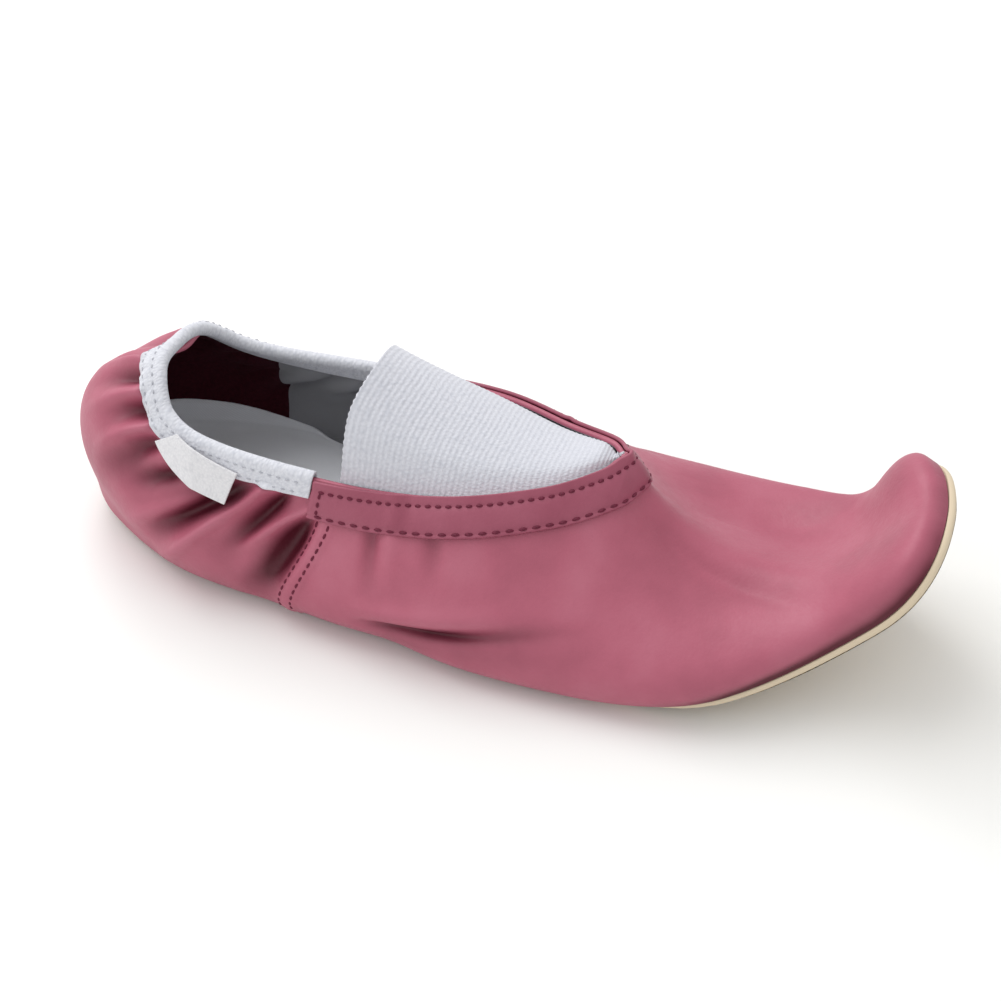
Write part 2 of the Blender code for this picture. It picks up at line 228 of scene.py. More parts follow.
def wall_normal(u, v):
    """The outward direction of the smooth wall."""
    du, dv = 0.02, 0.01
    along = smooth_wall(u + du, v) - smooth_wall(u - du, v)
    up = smooth_wall(u, np.minimum(v + dv, 1)) - smooth_wall(u, np.maximum(v - dv, 0))
    return unit(np.cross(along, up))


def down_from_top(u, distance):
    """The height v on the wall that lies a distance in mm below its top edge."""
    u, distance = np.broadcast_arrays(np.asarray(u, float), np.asarray(distance, float))
    levels = np.linspace(1, 0.3, 71)
    run = smooth_wall(u[..., None], levels)
    lengths = np.cumsum(np.linalg.norm(np.diff(run, axis=-2), axis=-1), axis=-1)
    lengths = np.concatenate([np.zeros_like(lengths[..., :1]), lengths], -1)
    rows = lengths.reshape(-1, len(levels))
    found = [np.interp(d, row, levels) for d, row in zip(distance.ravel(), rows)]
    return np.array(found).reshape(u.shape)


def beside_wall(u, distance, offset):
    """A point off the upper, offset outwards, a distance below its top edge, in mm."""
    v = down_from_top(u, distance)
    return smooth_wall(u, v) + wall_normal(u, v) * np.asarray(offset, float)[..., None]


print("collar edge at the heel", smooth_wall(0.0, 1.0).round(1), "mm")

# %% [markdown]
# The leather isn't smooth. The elastic collar pulls the heel into gathers, and the forefoot has
# kept a few creases from being folded in its bag. Each fold is given as a soft trough or ridge
# from one place on the wall to another, with its width and height in millimetres. Troughs have a
# height below zero. An empty shoe has also lost some of the last's shape, so its edge has slumped
# and its wall has swelled or sunk in a few broad places.

# %% Folds of the leather
# from u, from v, to u, to v, half width, height
HEEL_GATHERS = (
    (0.55, 1.06, -0.10, 0.50, 2.6, -1.2),
    (0.80, 1.04, 0.00, 0.46, 2.4, 0.9),
    (1.10, 1.06, 0.25, 0.46, 3.4, -1.6),
    (1.42, 1.03, 0.55, 0.45, 2.4, 1.1),
    (1.85, 1.08, 0.75, 0.53, 3.8, -1.8),
    (1.96, 1.12, 0.90, 0.36, 2.2, 1.5),
    (1.86, 0.86, 1.40, 0.62, 2.8, -1.4),
    (1.80, 0.80, 1.00, 0.28, 4.6, -1.0),
    (2.20, 0.80, 1.45, 0.46, 3.2, -1.6),
    (2.45, 0.78, 1.40, 0.16, 2.8, 1.6),
    (2.66, 0.88, 1.60, 0.20, 4.8, -2.5),
    (2.80, 1.02, 2.36, 0.48, 2.0, 1.3),
    (2.60, 0.78, 1.80, 0.02, 2.6, 1.7),
    (2.86, 0.98, 2.52, 0.60, 1.7, 0.7),
    (2.86, 0.92, 2.38, 0.30, 3.4, -1.9),
    (3.10, 0.87, 2.40, 0.37, 2.0, 1.3),
    (3.02, 0.84, 2.58, 0.02, 4.6, -2.5),
)
VAMP_CREASES = (
    (3.44, 0.86, 3.58, 0.38, 2.8, -0.7),
    (3.60, 0.86, 3.74, 0.44, 3.0, 0.4),
    (3.93, 0.88, 4.05, 0.46, 3.2, -0.5),
    (3.40, 0.27, 4.80, 0.43, 2.0, -1.1),
    (3.70, 0.33, 5.40, 0.45, 2.8, -0.7),
    (3.40, 0.22, 5.60, 0.36, 6.0, -0.5),
    (3.30, 0.36, 4.90, 0.50, 3.4, 0.5),
)
# the edge of the empty shoe has slumped in or out here: place round the foot, half width, reach in mm
SLUMPS = (
    (1.20, 0.75, -4.3),
    (-0.90, 0.80, -2.5),
    (3.70, 0.35, -2.0),
    (4.85, 0.95, -2.6),
    (6.60, 0.62, -6.6),
    (7.50, 0.42, 4.5),
    (-7.25, 0.38, -1.0),
    (-6.45, 0.50, -3.6),
    (-5.60, 0.75, -2.8),
)
# and its wall has swelled or sunk here, given like the folds
SWELLS = (
    (-0.40, 0.52, 1.00, 0.44, 18.0, 2.2),
    (-1.30, 0.80, 0.65, 0.80, 15.0, -4.2),
    (7.85, 0.20, 9.45, 0.20, 17.0, 2.0),
    (7.40, 0.50, 10.60, 0.26, 24.0, -3.0),
    (8.50, 0.66, 11.10, 0.52, 20.0, 1.5),
)
FOLD_RISE, SWELL_RISE = 0.30, 0.5
FOLD_WIDTH, FOLD_WIDENING = 0.8, 0.5


def around_foot(u):
    """Place u counted from the heel both ways: outer side above zero, inner side below."""
    return (u + SECTIONS / 2) % SECTIONS - SECTIONS / 2


def mm_per_step(u, v):
    """How many mm of wall a step of 1 in u and a step of 1 in v cover here."""
    step = 0.02
    up, low = np.minimum(v + step, 1), np.maximum(v - step, 0)
    per_u = np.linalg.norm(smooth_wall(u + step, v) - smooth_wall(u - step, v), axis=-1) / (2 * step)
    per_v = np.linalg.norm(smooth_wall(u, up) - smooth_wall(u, low), axis=-1) / (up - low)
    return per_u, per_v


def fold_lift(u, v, folds, side, rise=FOLD_RISE):
    """How far these folds lift the leather at u, v, in mm; side -1 puts them on the inner side.

    A fold rises over the first share of its length, then widens and runs out towards its end.
    """
    per_u, per_v = mm_per_step(u, v)
    lift = np.zeros_like(u)
    for u0, v0, u1, v1, half_width, height in folds:
        along_u, along_v = (u1 - u0) * side * per_u, (v1 - v0) * per_v
        middle = (u0 + u1) / 2 * side
        here = around_foot(u - middle) + middle
        away_u, away_v = (here - u0 * side) * per_u, (v - v0) * per_v
        length2 = along_u ** 2 + along_v ** 2
        t = np.clip((away_u * along_u + away_v * along_v) / length2, 0, 1)
        gap2 = (away_u - along_u * t) ** 2 + (away_v - along_v * t) ** 2
        ends = soft_step(t / rise) * (1 - soft_step((t - rise) / (1 - rise)))
        width = half_width * (FOLD_WIDTH + FOLD_WIDENING * t)
        lift += height * ends * np.exp(-gap2 / (0.5 * width ** 2))
    return lift


print(len(HEEL_GATHERS), "gathers a side,", len(VAMP_CREASES), "creases on the outer forefoot")

# %% [markdown]
# The side seams join the quarter to the vamp. Each one is a narrow strip, turned under and sewn down
# along both edges, so it stands a little proud of the leather, with a shallow furrow along each row
# of stitches. Round the toe the leather is pulled in tight, which leaves a groove just above the
# sole, and elsewhere it puffs out over the sole's edge.

# %% The whole lift of the leather
SEAM_RISE, SEAM_HALF_WIDTH, SEAM_EDGE = 0.6, 2.5, 1.2
SEAM_TOP, SEAM_LEAN = SEAM_OUT + 0.15, -0.19
SEAM_LEAN_FROM, SEAM_LEAN_RUN = 0.78, 0.6
SEAM_STITCHES_IN = 0.9
FACING_FOOT, FACING_FADE = 0.80, 0.06
FURROW, FURROW_WIDTH = 0.35, 0.55
GATHER_DEPTH, INNER_SHARE, INNER_SHIFT = 2.1, 0.5, 0.06
# the gathers run out under the collar tape: from this depth, over this length in mm
TAPE_HOLD, TAPE_FADE = 3.2, 3.5
WELT_CREASE, WELT_CREASE_UP, WELT_CREASE_WIDTH = 0.6, 2.2, 1.4
WELT_SHADE, WELT_SHADE_UP = 0.54, 1.8
ROLL_RADIUS = 2.0
ROLL_OUT, ROLL_SAG = 1.0, 1.2
ROLL_OUT_TOE, ROLL_SAG_TOE = 0.1, 0.9
# where round the foot some things change: from u, over a length in u
GROOVE_FROM, GROOVE_RUN = 5.2, 1.0
TIP_FROM, TIP_RUN = 7.2, 0.8
LONG_SLUMP_FROM, LONG_SLUMP_RUN = 5.0, 1.5
FLAT_ROLL_FROM, FLAT_ROLL_RUN = 4.4, 1.6
GROOVE_INNER = 0.3
# a slump fades up the wall: from v, over a length in v, and over how much more at the toe
SLUMP_FROM, SLUMP_RUN, SLUMP_RUN_TOE = 0.08, 0.55, 0.35
# a swell's direction turns from that of the low wall to that of the high wall: both v, from v, over v
LOW_WALL, HIGH_WALL = 0.20, 0.75
WAY_FROM, WAY_RUN = 0.3, 0.4
BINDING_OUTSIDE, BINDING_INSIDE = 4.8, 4.0


def seam_place(v, side):
    """Where round the foot the side seam lies at height v: it leans back towards the sole."""
    return side * (SEAM_TOP + SEAM_LEAN * soft_step((SEAM_LEAN_FROM - v) / SEAM_LEAN_RUN))


def round_the_toe(u):
    """1 along the outer edge of the forefoot, less at the tip and along the inner edge, 0 elsewhere."""
    around = around_foot(u)
    tip = soft_step((around - TIP_FROM) / TIP_RUN)
    share = np.where(around > 0, 1 - (1 - GROOVE_INNER) * tip, GROOVE_INNER)
    return share * soft_step((np.abs(around) - GROOVE_FROM) / GROOVE_RUN)


def leather_lift(u, v):
    """How far folds, seams and grooves lift the leather from the smooth wall, in mm."""
    around = around_foot(u)
    per_u, per_v = mm_per_step(u, v)
    lift = fold_lift(around, v, HEEL_GATHERS, 1)
    lift += INNER_SHARE * fold_lift(around - INNER_SHIFT, v, HEEL_GATHERS, -1)
    lift += fold_lift(around, v, VAMP_CREASES, 1)
    lift += INNER_SHARE * fold_lift(around, v, VAMP_CREASES, -1)
    lift *= GATHER_DEPTH * soft_step(((1 - v) * per_v - TAPE_HOLD) / TAPE_FADE)
    for side in (1, -1):
        aside = np.abs(around - seam_place(v, side)) * per_u
        under_facing = soft_step((FACING_FOOT - v) / FACING_FADE)
        strip = soft_step((SEAM_HALF_WIDTH + SEAM_EDGE / 2 - aside) / SEAM_EDGE)
        row = np.exp(-((aside - SEAM_HALF_WIDTH + SEAM_STITCHES_IN) / FURROW_WIDTH) ** 2)
        lift += (SEAM_RISE * strip - FURROW * row) * under_facing
    groove = np.exp(-((v * per_v - WELT_CREASE_UP) / WELT_CREASE_WIDTH) ** 2)
    return lift - WELT_CREASE * round_the_toe(u) * groove


def slump(u, v):
    """How far the leather has slumped in the plane of the sole, in mm, outwards above zero."""
    reach = 0 * u
    for place, half_width, height in SLUMPS:
        reach = reach + height * np.exp(-(around_foot(u - place) / half_width) ** 2)
    toe = soft_step((np.abs(around_foot(u)) - LONG_SLUMP_FROM) / LONG_SLUMP_RUN)
    return reach * (1 - soft_step((v - SLUMP_FROM) / (SLUMP_RUN + SLUMP_RUN_TOE * toe)))


def outwards(u):
    """The direction in the plane of the sole that leads straight out over the feather line."""
    return unit(roll_up(*feather_line(u, 0.5), 0 * u) - roll_up(*feather_line(u, -0.5), 0 * u))


def swell(u, v):
    """How the wall has swelled or sunk, as vectors in mm whose direction changes slowly up the wall."""
    way = wall_normal(u, LOW_WALL + (HIGH_WALL - LOW_WALL) * soft_step((v - WAY_FROM) / WAY_RUN))
    return way * fold_lift(around_foot(u), v, SWELLS, 1, SWELL_RISE)[..., None]


def lower_roll(u, v):
    """How the leather puffs out and hangs over the edge of the sole before it turns under it, in mm."""
    step = 0.02
    up = smooth_wall(u, np.minimum(v + step, 1)) - smooth_wall(u, v)
    distance = v * np.linalg.norm(up, axis=-1) / step
    toe = soft_step((np.abs(around_foot(u)) - FLAT_ROLL_FROM) / FLAT_ROLL_RUN)
    rounding = distance / ROLL_RADIUS * np.exp(1 - distance / ROLL_RADIUS)
    outward = wall_normal(u, 0.02 + 0 * v) * np.array([1, 1, 0])
    puff = ROLL_OUT * (1 - toe) + ROLL_OUT_TOE * toe
    sag = ROLL_SAG * (1 - toe) + ROLL_SAG_TOE * toe * round_the_toe(u)
    roll = unit(outward) * puff[..., None] - np.array([0, 0, 1]) * sag[..., None]
    return roll * rounding[..., None]


def wall(u, v):
    """The outside of the upper, folds and all, in mm."""
    folds = wall_normal(u, v) * leather_lift(u, v)[..., None]
    slumped = outwards(u) * slump(u, v)[..., None]
    return smooth_wall(u, v) + folds + slumped + swell(u, v) + lower_roll(u, v)


def turned_under(u, distance):
    """The edge of the leather that is turned in under the foot, between sole and sock, in mm."""
    return roll_up(*feather_line(u, slump(u, 0 * u) - distance), FEATHER_H + 0 * u)


lifts = leather_lift(*np.meshgrid(np.linspace(0, SECTIONS, 320), np.linspace(0, 1, 60)))
print("deepest fold", lifts.min().round(2), "mm")

# %% [markdown]
# Every soft piece starts the same way: a flat grid from the Add menu, like a cut of leather on the
# bench, whose points are then laid on the last. A Solidify modifier gives it its thickness. Laying
# hundreds of points by hand with the transform operators isn't practical, so a helper does it.

# %% Lay a cut of material on the last


def deselect_all():
    """Leave nothing selected, so that an operator acts on the new piece alone."""
    for thing in bpy.context.selected_objects:
        thing.select_set(False)


def lay(name, finishes, points, flat, close=False, **marks):
    """A grid mesh laid on points, rows of places in mm, with its flat size in mm as UV.

    close merges edges that meet. Each mark is a number for every point, kept as an attribute.
    """
    rows, steps = points.shape[:2]
    deselect_all()
    bpy.ops.mesh.primitive_grid_add(x_subdivisions=rows - 1, y_subdivisions=steps - 1, size=2)
    piece = bpy.context.object
    piece.name = piece.data.name = name
    mesh = piece.data
    for finish in finishes:
        mesh.materials.append(finish)
    places = np.empty(len(mesh.vertices) * 3)
    mesh.vertices.foreach_get("co", places)
    places = places.reshape(-1, 3)
    i = np.rint((places[:, 0] + 1) / 2 * (rows - 1)).astype(int)
    j = np.rint((places[:, 1] + 1) / 2 * (steps - 1)).astype(int)
    mesh.vertices.foreach_set("co", (points[i, j] * MM).ravel())
    corner = np.empty(len(mesh.loops), int)
    mesh.loops.foreach_get("vertex_index", corner)
    mesh.uv_layers[0].data.foreach_set("uv", flat[i, j][corner].ravel())
    for mark, values in marks.items():
        mesh.attributes.new(mark, "FLOAT", "POINT").data.foreach_set("value", values[i, j])
    mesh.update()
    if close:
        bpy.ops.object.mode_set(mode="EDIT")
        bpy.ops.mesh.select_all(action="SELECT")
        bpy.ops.mesh.remove_doubles(threshold=0.02 * MM)
        bpy.ops.object.mode_set(mode="OBJECT")
    bpy.ops.object.shade_smooth()
    return piece


def thicken(piece, thickness, grow, **settings):
    """Give a laid piece its thickness in mm, outwards with grow 1 and inwards with grow -1."""
    skin = piece.modifiers.new("thickness", "SOLIDIFY")
    skin.thickness = thickness * MM
    skin.offset = grow
    skin.use_even_offset = False
    for setting, value in settings.items():
        setattr(skin, setting, value)
    bpy.ops.object.modifier_apply(modifier=skin.name)


def round_edges(piece, width):
    """Round the sharp rim of a piece, by a width in mm."""
    bevel = piece.modifiers.new("rounded", "BEVEL")
    bevel.width = width * MM
    bevel.segments = 2
    bevel.limit_method = "ANGLE"
    bevel.angle_limit = math.radians(50)
    bpy.ops.object.modifier_apply(modifier=bevel.name)


def place_in_frame(piece, node, slot):
    """Let a piece ride on the shoe and stand for its solid."""
    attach(piece, "root")
    if node:
        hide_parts(node)
    print(piece.name, len(piece.data.polygons), "faces")


# %% [markdown]
# Every finish is a small graph of shader nodes. One helper adds a node with its settings and links,
# and another turns a colour written as on a paint chart into the linear light that shaders use.

# %% Helpers for the finishes


def chart(colour):
    """A colour such as #AB5C70 as linear red, green, blue and alpha."""
    parts = [int(colour[k:k + 2], 16) / 255 for k in (1, 3, 5)]
    return (*[p / 12.92 if p <= 0.04045 else ((p + 0.055) / 1.055) ** 2.4 for p in parts], 1.0)


def add(tree, kind, sockets=None, **settings):
    """Add a node with its settings; sockets maps an input to a value or to the output that feeds it."""
    made = tree.nodes.new(kind)
    for setting, value in settings.items():
        setattr(made, setting, value)
    for name, value in (sockets or {}).items():
        if isinstance(value, bpy.types.NodeSocket):
            tree.links.new(value, made.inputs[name])
        else:
            made.inputs[name].default_value = value
    return made


def new_finish(name, **sockets):
    """A material with a Principled shader, whose sockets are set by their names with _ for spaces."""
    finish = bpy.data.materials.new(name)
    finish.use_nodes = True
    shader = finish.node_tree.nodes["Principled BSDF"]
    for socket, value in sockets.items():
        shader.inputs[socket.replace("_", " ")].default_value = value
    return finish, finish.node_tree, shader


def per_metre(size_mm):
    """The scale of a pattern on object coordinates whose detail is this many millimetres wide."""
    return 1000.0 / size_mm


# %% [markdown]
# The leather is a soft, dyed sheepskin: rose, half matt, with a fine pebble that shows only close
# up. Its colour carries a painted highlight along the ridges of the folds and painted shade down
# in them, and a faint mottle from the dye. The mesh carries that painted light and shade, worked
# out from each point's lift, as an attribute, so the finish knows the folds.

# %% Finish: soft rose leather


def rose_leather(name, deep, mid, pale_and_highlight, fold_name=None):
    """Dyed sheepskin, half matt and finely pebbled; a fold attribute paints shade in folds, highlight on
    ridges.
    """
    finish, tree, shader = new_finish(name, Roughness=0.47, IOR=1.48, Specular_IOR_Level=0.42)
    where = add(tree, "ShaderNodeTexCoord").outputs["Object"]
    mottle = add(tree, "ShaderNodeTexNoise", {"Vector": where, "Scale": per_metre(17), "Detail": 4.0})
    grain = add(tree, "ShaderNodeTexVoronoi", {"Vector": where, "Scale": per_metre(0.75)})
    pores = add(tree, "ShaderNodeTexNoise", {"Vector": where, "Scale": per_metre(1.6), "Detail": 3.0})
    tone = mottle.outputs["Fac"]
    if fold_name:
        # the attribute holds painted shade for the folds and a painted highlight for the ridges
        fold = add(tree, "ShaderNodeAttribute", attribute_name=fold_name)
        soft = add(tree, "ShaderNodeMath", {0: mottle.outputs["Fac"], 1: 0.35, 2: -0.175},
                   operation="MULTIPLY_ADD")
        both = add(tree, "ShaderNodeMath", {0: fold.outputs["Fac"], 1: soft.outputs[0]}, operation="ADD")
        tone = both.outputs[0]
    ramp = add(tree, "ShaderNodeValToRGB", {"Fac": tone})
    # with an attribute, the dark end is painted shade in the folds and the pale end a painted highlight on
    # ridges; both ends also serve the dye's mottle
    ramp.color_ramp.elements[0].position = 0.05
    ramp.color_ramp.elements[0].color = chart(deep)
    ramp.color_ramp.elements[1].position = 0.92
    ramp.color_ramp.elements[1].color = chart(pale_and_highlight)
    middle = ramp.color_ramp.elements.new(0.5)
    middle.color = chart(mid)
    tree.links.new(ramp.outputs["Color"], shader.inputs["Base Color"])
    gloss = add(tree, "ShaderNodeMapRange",
                {"Value": pores.outputs["Fac"], "To Min": 0.40, "To Max": 0.58})
    tree.links.new(gloss.outputs["Result"], shader.inputs["Roughness"])
    pebble = add(tree, "ShaderNodeBump",
                 {"Height": grain.outputs["Distance"], "Strength": 0.16, "Distance": 0.0002})
    crumple = add(tree, "ShaderNodeBump", {"Height": pores.outputs["Fac"], "Strength": 0.10,
                                           "Distance": 0.0006, "Normal": pebble.outputs["Normal"]})
    tree.links.new(crumple.outputs["Normal"], shader.inputs["Normal"])
    return finish


# darkest for painted shade in the troughs, the leather's own rose, palest for a painted highlight on ridges
upper_leather = rose_leather("soft_sheepskin", "#520D20", "#AB596D", "#C98394", "fold")
facing_leather = rose_leather("facing_sheepskin", "#7E3146", "#964A5E", "#A65C6F")
print("leathers", upper_leather.name, facing_leather.name)

# %% [markdown]
# Inside, the heel shows the rough back of the same hide, and the front is lined with a thin woven
# cotton. The sock that covers the sole is a slightly thicker cloth of the same kind.

# %% Finish: hide back and woven cotton


def hide_back():
    """The flesh side of the hide: dull, with a short rough nap, and its dark maroon deepened by painted
    shade.
    """
    finish, tree, shader = new_finish("hide_back", Roughness=0.95, Specular_IOR_Level=0.15)
    where = add(tree, "ShaderNodeTexCoord").outputs["Object"]
    nap = add(tree, "ShaderNodeTexNoise", {"Vector": where, "Scale": per_metre(0.9), "Detail": 5.0})
    ramp = add(tree, "ShaderNodeValToRGB", {"Fac": nap.outputs["Fac"]})
    # near black: the hide's own dark maroon, deepened by painted shade inside the heel
    ramp.color_ramp.elements[0].color = chart("#22070F")
    ramp.color_ramp.elements[1].color = chart("#47131F")
    tree.links.new(ramp.outputs["Color"], shader.inputs["Base Color"])
    bump = add(tree, "ShaderNodeBump", {"Height": nap.outputs["Fac"], "Strength": 0.4, "Distance": 0.0004})
    tree.links.new(bump.outputs["Normal"], shader.inputs["Normal"])
    return finish


def woven_cotton(name, thread, gap, spacing):
    """Plain woven cotton on the piece's own UV map in mm: dull, with threads this many mm apart.

    The bands of a wave texture lie 2 pi / 20 apart at scale 1.
    """
    finish, tree, shader = new_finish(name, Roughness=0.92, Specular_IOR_Level=0.2, Sheen_Weight=0.15)
    where = add(tree, "ShaderNodeUVMap").outputs["UV"]
    bands = 2 * math.pi / 20 / spacing
    warp = add(tree, "ShaderNodeTexWave", {"Vector": where, "Scale": bands}, bands_direction="X")
    weft = add(tree, "ShaderNodeTexWave", {"Vector": where, "Scale": bands}, bands_direction="Y")
    cross = add(tree, "ShaderNodeMath", {0: warp.outputs["Fac"], 1: weft.outputs["Fac"]},
                operation="MAXIMUM")
    ramp = add(tree, "ShaderNodeValToRGB", {"Fac": cross.outputs[0]})
    ramp.color_ramp.elements[0].color = chart(gap)
    ramp.color_ramp.elements[1].color = chart(thread)
    tree.links.new(ramp.outputs["Color"], shader.inputs["Base Color"])
    bump = add(tree, "ShaderNodeBump", {"Height": cross.outputs[0], "Strength": 0.35, "Distance": 0.0002})
    tree.links.new(bump.outputs["Normal"], shader.inputs["Normal"])
    return finish


heel_back_finish = hide_back()
# the cotton's own pale grey, darkened by painted shade inside the shoe
lining_cotton = woven_cotton("lining_cotton", "#96969A", "#7A7A80", 0.283)
sock_cotton = woven_cotton("sock_cotton", "#F4F5F9", "#E2E4EA", 0.3145)
print("linings", heel_back_finish.name, lining_cotton.name, sock_cotton.name)

# %% [markdown]
# The upper is one wall of leather right round the foot, turned in under it. The grid is closed
# at the heel and thickened inwards. Its inside gets the hide's back round the heel, and cotton from
# a little behind the side seams to the toe. It could be shaped by sculpting, but laid points keep it
# on the last.

# %% Upper
WALL = 1.3
# from u, to u, columns for each section: finest where the gathers show
COLUMN_RUNS = ((0, 5, 44), (5, 13, 21), (13, SECTIONS, 30))
WALL_LEVELS, LEVELS_LOW = 90, 1.3
TURNED = np.array([4.0, 2.6, 1.2])
# how much painted shade a trough and how much painted highlight a ridge give the leather, for each mm of
# its lift
PAINTED_TROUGH_SHADE, PAINTED_RIDGE_HIGHLIGHT = 0.13, 0.03
LINING_FROM = 2.14


def run_length(line):
    """How far along a line each of its points lies."""
    return np.concatenate([[0], np.cumsum(np.linalg.norm(np.diff(line, axis=0), axis=-1))])


columns = [np.linspace(start, stop, (stop - start) * finer, endpoint=False)
           for start, stop, finer in COLUMN_RUNS]
columns = np.concatenate(columns + [[SECTIONS]])
heights = np.linspace(0, 1, WALL_LEVELS + 1) ** LEVELS_LOW
upper_u, upper_v = np.meshgrid(columns, heights, indexing="ij")
under_u, under_d = np.meshgrid(columns, TURNED, indexing="ij")
outside = wall(upper_u, upper_v)
upper_places = np.concatenate([turned_under(under_u, under_d), outside], 1)
# the flat size is measured along the side, at v 0.6, and up it, at u 4
flat_u = run_length(smooth_wall(columns, 0.6))
flat_v = run_length(smooth_wall(4.0, heights))
upper_flat = stack(*np.meshgrid(flat_u, np.concatenate([-TURNED, flat_v]), indexing="ij"))
above_sole = np.linalg.norm(outside - outside[:, :1], axis=-1)
lifted = leather_lift(upper_u, upper_v)
# painted shade in the troughs and a painted highlight on the ridges
painted_shading = 0.5 + np.where(lifted < 0, PAINTED_TROUGH_SHADE, PAINTED_RIDGE_HIGHLIGHT) * lifted
# painted shade in a narrow band just above the sole round the toe, where the leather turns under
painted_shading -= WELT_SHADE * round_the_toe(upper_u) * np.exp(-(above_sole / WELT_SHADE_UP) ** 2)
painted_shading = np.concatenate([np.full(under_u.shape, 0.5), painted_shading], 1)
upper = lay("leather_upper", (upper_leather, heel_back_finish, lining_cotton), upper_places,
            upper_flat, close=True, fold=painted_shading)
thicken(upper, WALL, -1, material_offset=1, material_offset_rim=0)
lining_ends = np.interp((LINING_FROM, SECTIONS - LINING_FROM), columns, flat_u)
upper_uv = upper.data.uv_layers[0].data
for face in upper.data.polygons:
    place = sum(upper_uv[corner].uv.x for corner in face.loop_indices) / face.loop_total
    if face.material_index == 1 and lining_ends[0] < place < lining_ends[1]:
        face.material_index = 2
place_in_frame(upper, "upper", "soft_leather")

# %% [markdown]
# The sole is a thin sheet of crepe rubber, calendered with a honeycomb of small round dimples about
# 2 mm apart, in straight rows across the foot. They are too many to model, so they are drawn in the
# finish, on a UV map in millimetres that curls with the sole.

# %% Finish: dimpled rubber
DIMPLE_PITCH = 2.0


def dimpled_rubber():
    """Crepe rubber: dull beige, with painted shade down in its dimples, and palest on its bare cut edge."""
    finish, tree, shader = new_finish("dimpled_crepe_rubber", Roughness=0.72, Specular_IOR_Level=0.3)
    flat = add(tree, "ShaderNodeSeparateXYZ", {0: add(tree, "ShaderNodeUVMap").outputs["UV"]})
    across, along = DIMPLE_PITCH, DIMPLE_PITCH * math.sqrt(3)
    rings = []
    for shift in (0.0, 0.5):
        squares = []
        for axis, pitch in (("Y", across), ("X", along)):
            cell = add(tree, "ShaderNodeMath", {0: flat.outputs[axis], 1: 1 / pitch, 2: shift},
                       operation="MULTIPLY_ADD")
            part = add(tree, "ShaderNodeMath", {0: cell.outputs[0], 1: 1.0}, operation="FLOORED_MODULO")
            off = add(tree, "ShaderNodeMath", {0: part.outputs[0], 1: -0.5}, operation="ADD")
            size = add(tree, "ShaderNodeMath", {0: off.outputs[0], 1: pitch}, operation="MULTIPLY")
            squares.append(add(tree, "ShaderNodeMath", {0: size.outputs[0], 1: 2.0}, operation="POWER"))
        total = add(tree, "ShaderNodeMath", {0: squares[0].outputs[0], 1: squares[1].outputs[0]},
                    operation="ADD")
        rings.append(add(tree, "ShaderNodeMath", {0: total.outputs[0]}, operation="SQRT"))
    near = add(tree, "ShaderNodeMath", {0: rings[0].outputs[0], 1: rings[1].outputs[0]},
               operation="MINIMUM")
    height = add(tree, "ShaderNodeMapRange", {"Value": near.outputs[0], "From Min": 0.30, "From Max": 0.85},
                 interpolation_type="SMOOTHSTEP")
    tread = add(tree, "ShaderNodeAttribute", attribute_name="tread")
    bare = add(tree, "ShaderNodeMath", {0: 1.0, 1: tread.outputs["Fac"]}, operation="SUBTRACT")
    height = add(tree, "ShaderNodeMath", {0: height.outputs["Result"], 1: bare.outputs[0]},
                 operation="MAXIMUM")
    where = add(tree, "ShaderNodeTexCoord").outputs["Object"]
    stain = add(tree, "ShaderNodeTexNoise", {"Vector": where, "Scale": per_metre(25), "Detail": 5.0})
    land = add(tree, "ShaderNodeMix", {"Factor": stain.outputs["Fac"]}, data_type="RGBA")
    land.inputs[6].default_value = chart("#CDB48C")
    land.inputs[7].default_value = chart("#BFA476")
    colour = add(tree, "ShaderNodeMix", {"Factor": height.outputs[0]}, data_type="RGBA")
    # painted shade down in the dimples
    colour.inputs[6].default_value = chart("#8B7044")
    tree.links.new(land.outputs[2], colour.inputs[7])
    cut = add(tree, "ShaderNodeMix", {"Factor": bare.outputs[0]}, data_type="RGBA")
    tree.links.new(colour.outputs[2], cut.inputs[6])
    cut.inputs[7].default_value = chart("#D6C6AC")
    tree.links.new(cut.outputs[2], shader.inputs["Base Color"])
    bump = add(tree, "ShaderNodeBump", {"Height": height.outputs[0], "Strength": 0.9, "Distance": 0.0005})
    tree.links.new(bump.outputs["Normal"], shader.inputs["Normal"])
    return finish


sole_rubber = dimpled_rubber()
print("rubber", sole_rubber.name, "with dimples", DIMPLE_PITCH, "mm apart")

# %% [markdown]
# The sole is cut along the feather line, tucked in under the leather at heel and waist, so it shows
# past the leather only at the toe. An extruded outline would do for a flat sole. This one curls, so
# it is laid as a closed skin: from the middle of the foot out along the bottom, round the edge, and
# back along the top.

# %% Sole
SPINE_FROM, SPINE_TO = 30.0, 200.0
SOLE_COLUMNS, SOLE_RINGS, INNER_RINGS_TO = 400, 14, 0.97
# past the feather line at heel and waist, at the forefoot, at the tip
SOLE_REACH = (-2.2, -0.1, 0.3)
FOREFOOT_FROM, FOREFOOT_RUN = 4.8, 1.4
SOLE_TIP_FROM, SOLE_TIP_RUN = 6.9, 0.8
# how far the edge is rounded in its lower and upper half
SOLE_ROUNDING = (1.8, 0.3)


def spine(u):
    """The middle line of the foot opposite u, stopped short of heel and toe: s and y, unrolled."""
    half = np.linspace(0, TOE_TIP, 200)
    middle_s = (last_value("foot_s", half) + last_value("foot_s", SECTIONS - half)) / 2
    middle_y = (last_value("foot_y", half) + last_value("foot_y", SECTIONS - half)) / 2
    s = (last_value("foot_s", u) + last_value("foot_s", SECTIONS - u)) / 2
    s = np.clip(s, SPINE_FROM, SPINE_TO)
    return s, np.interp(s, middle_s, middle_y)


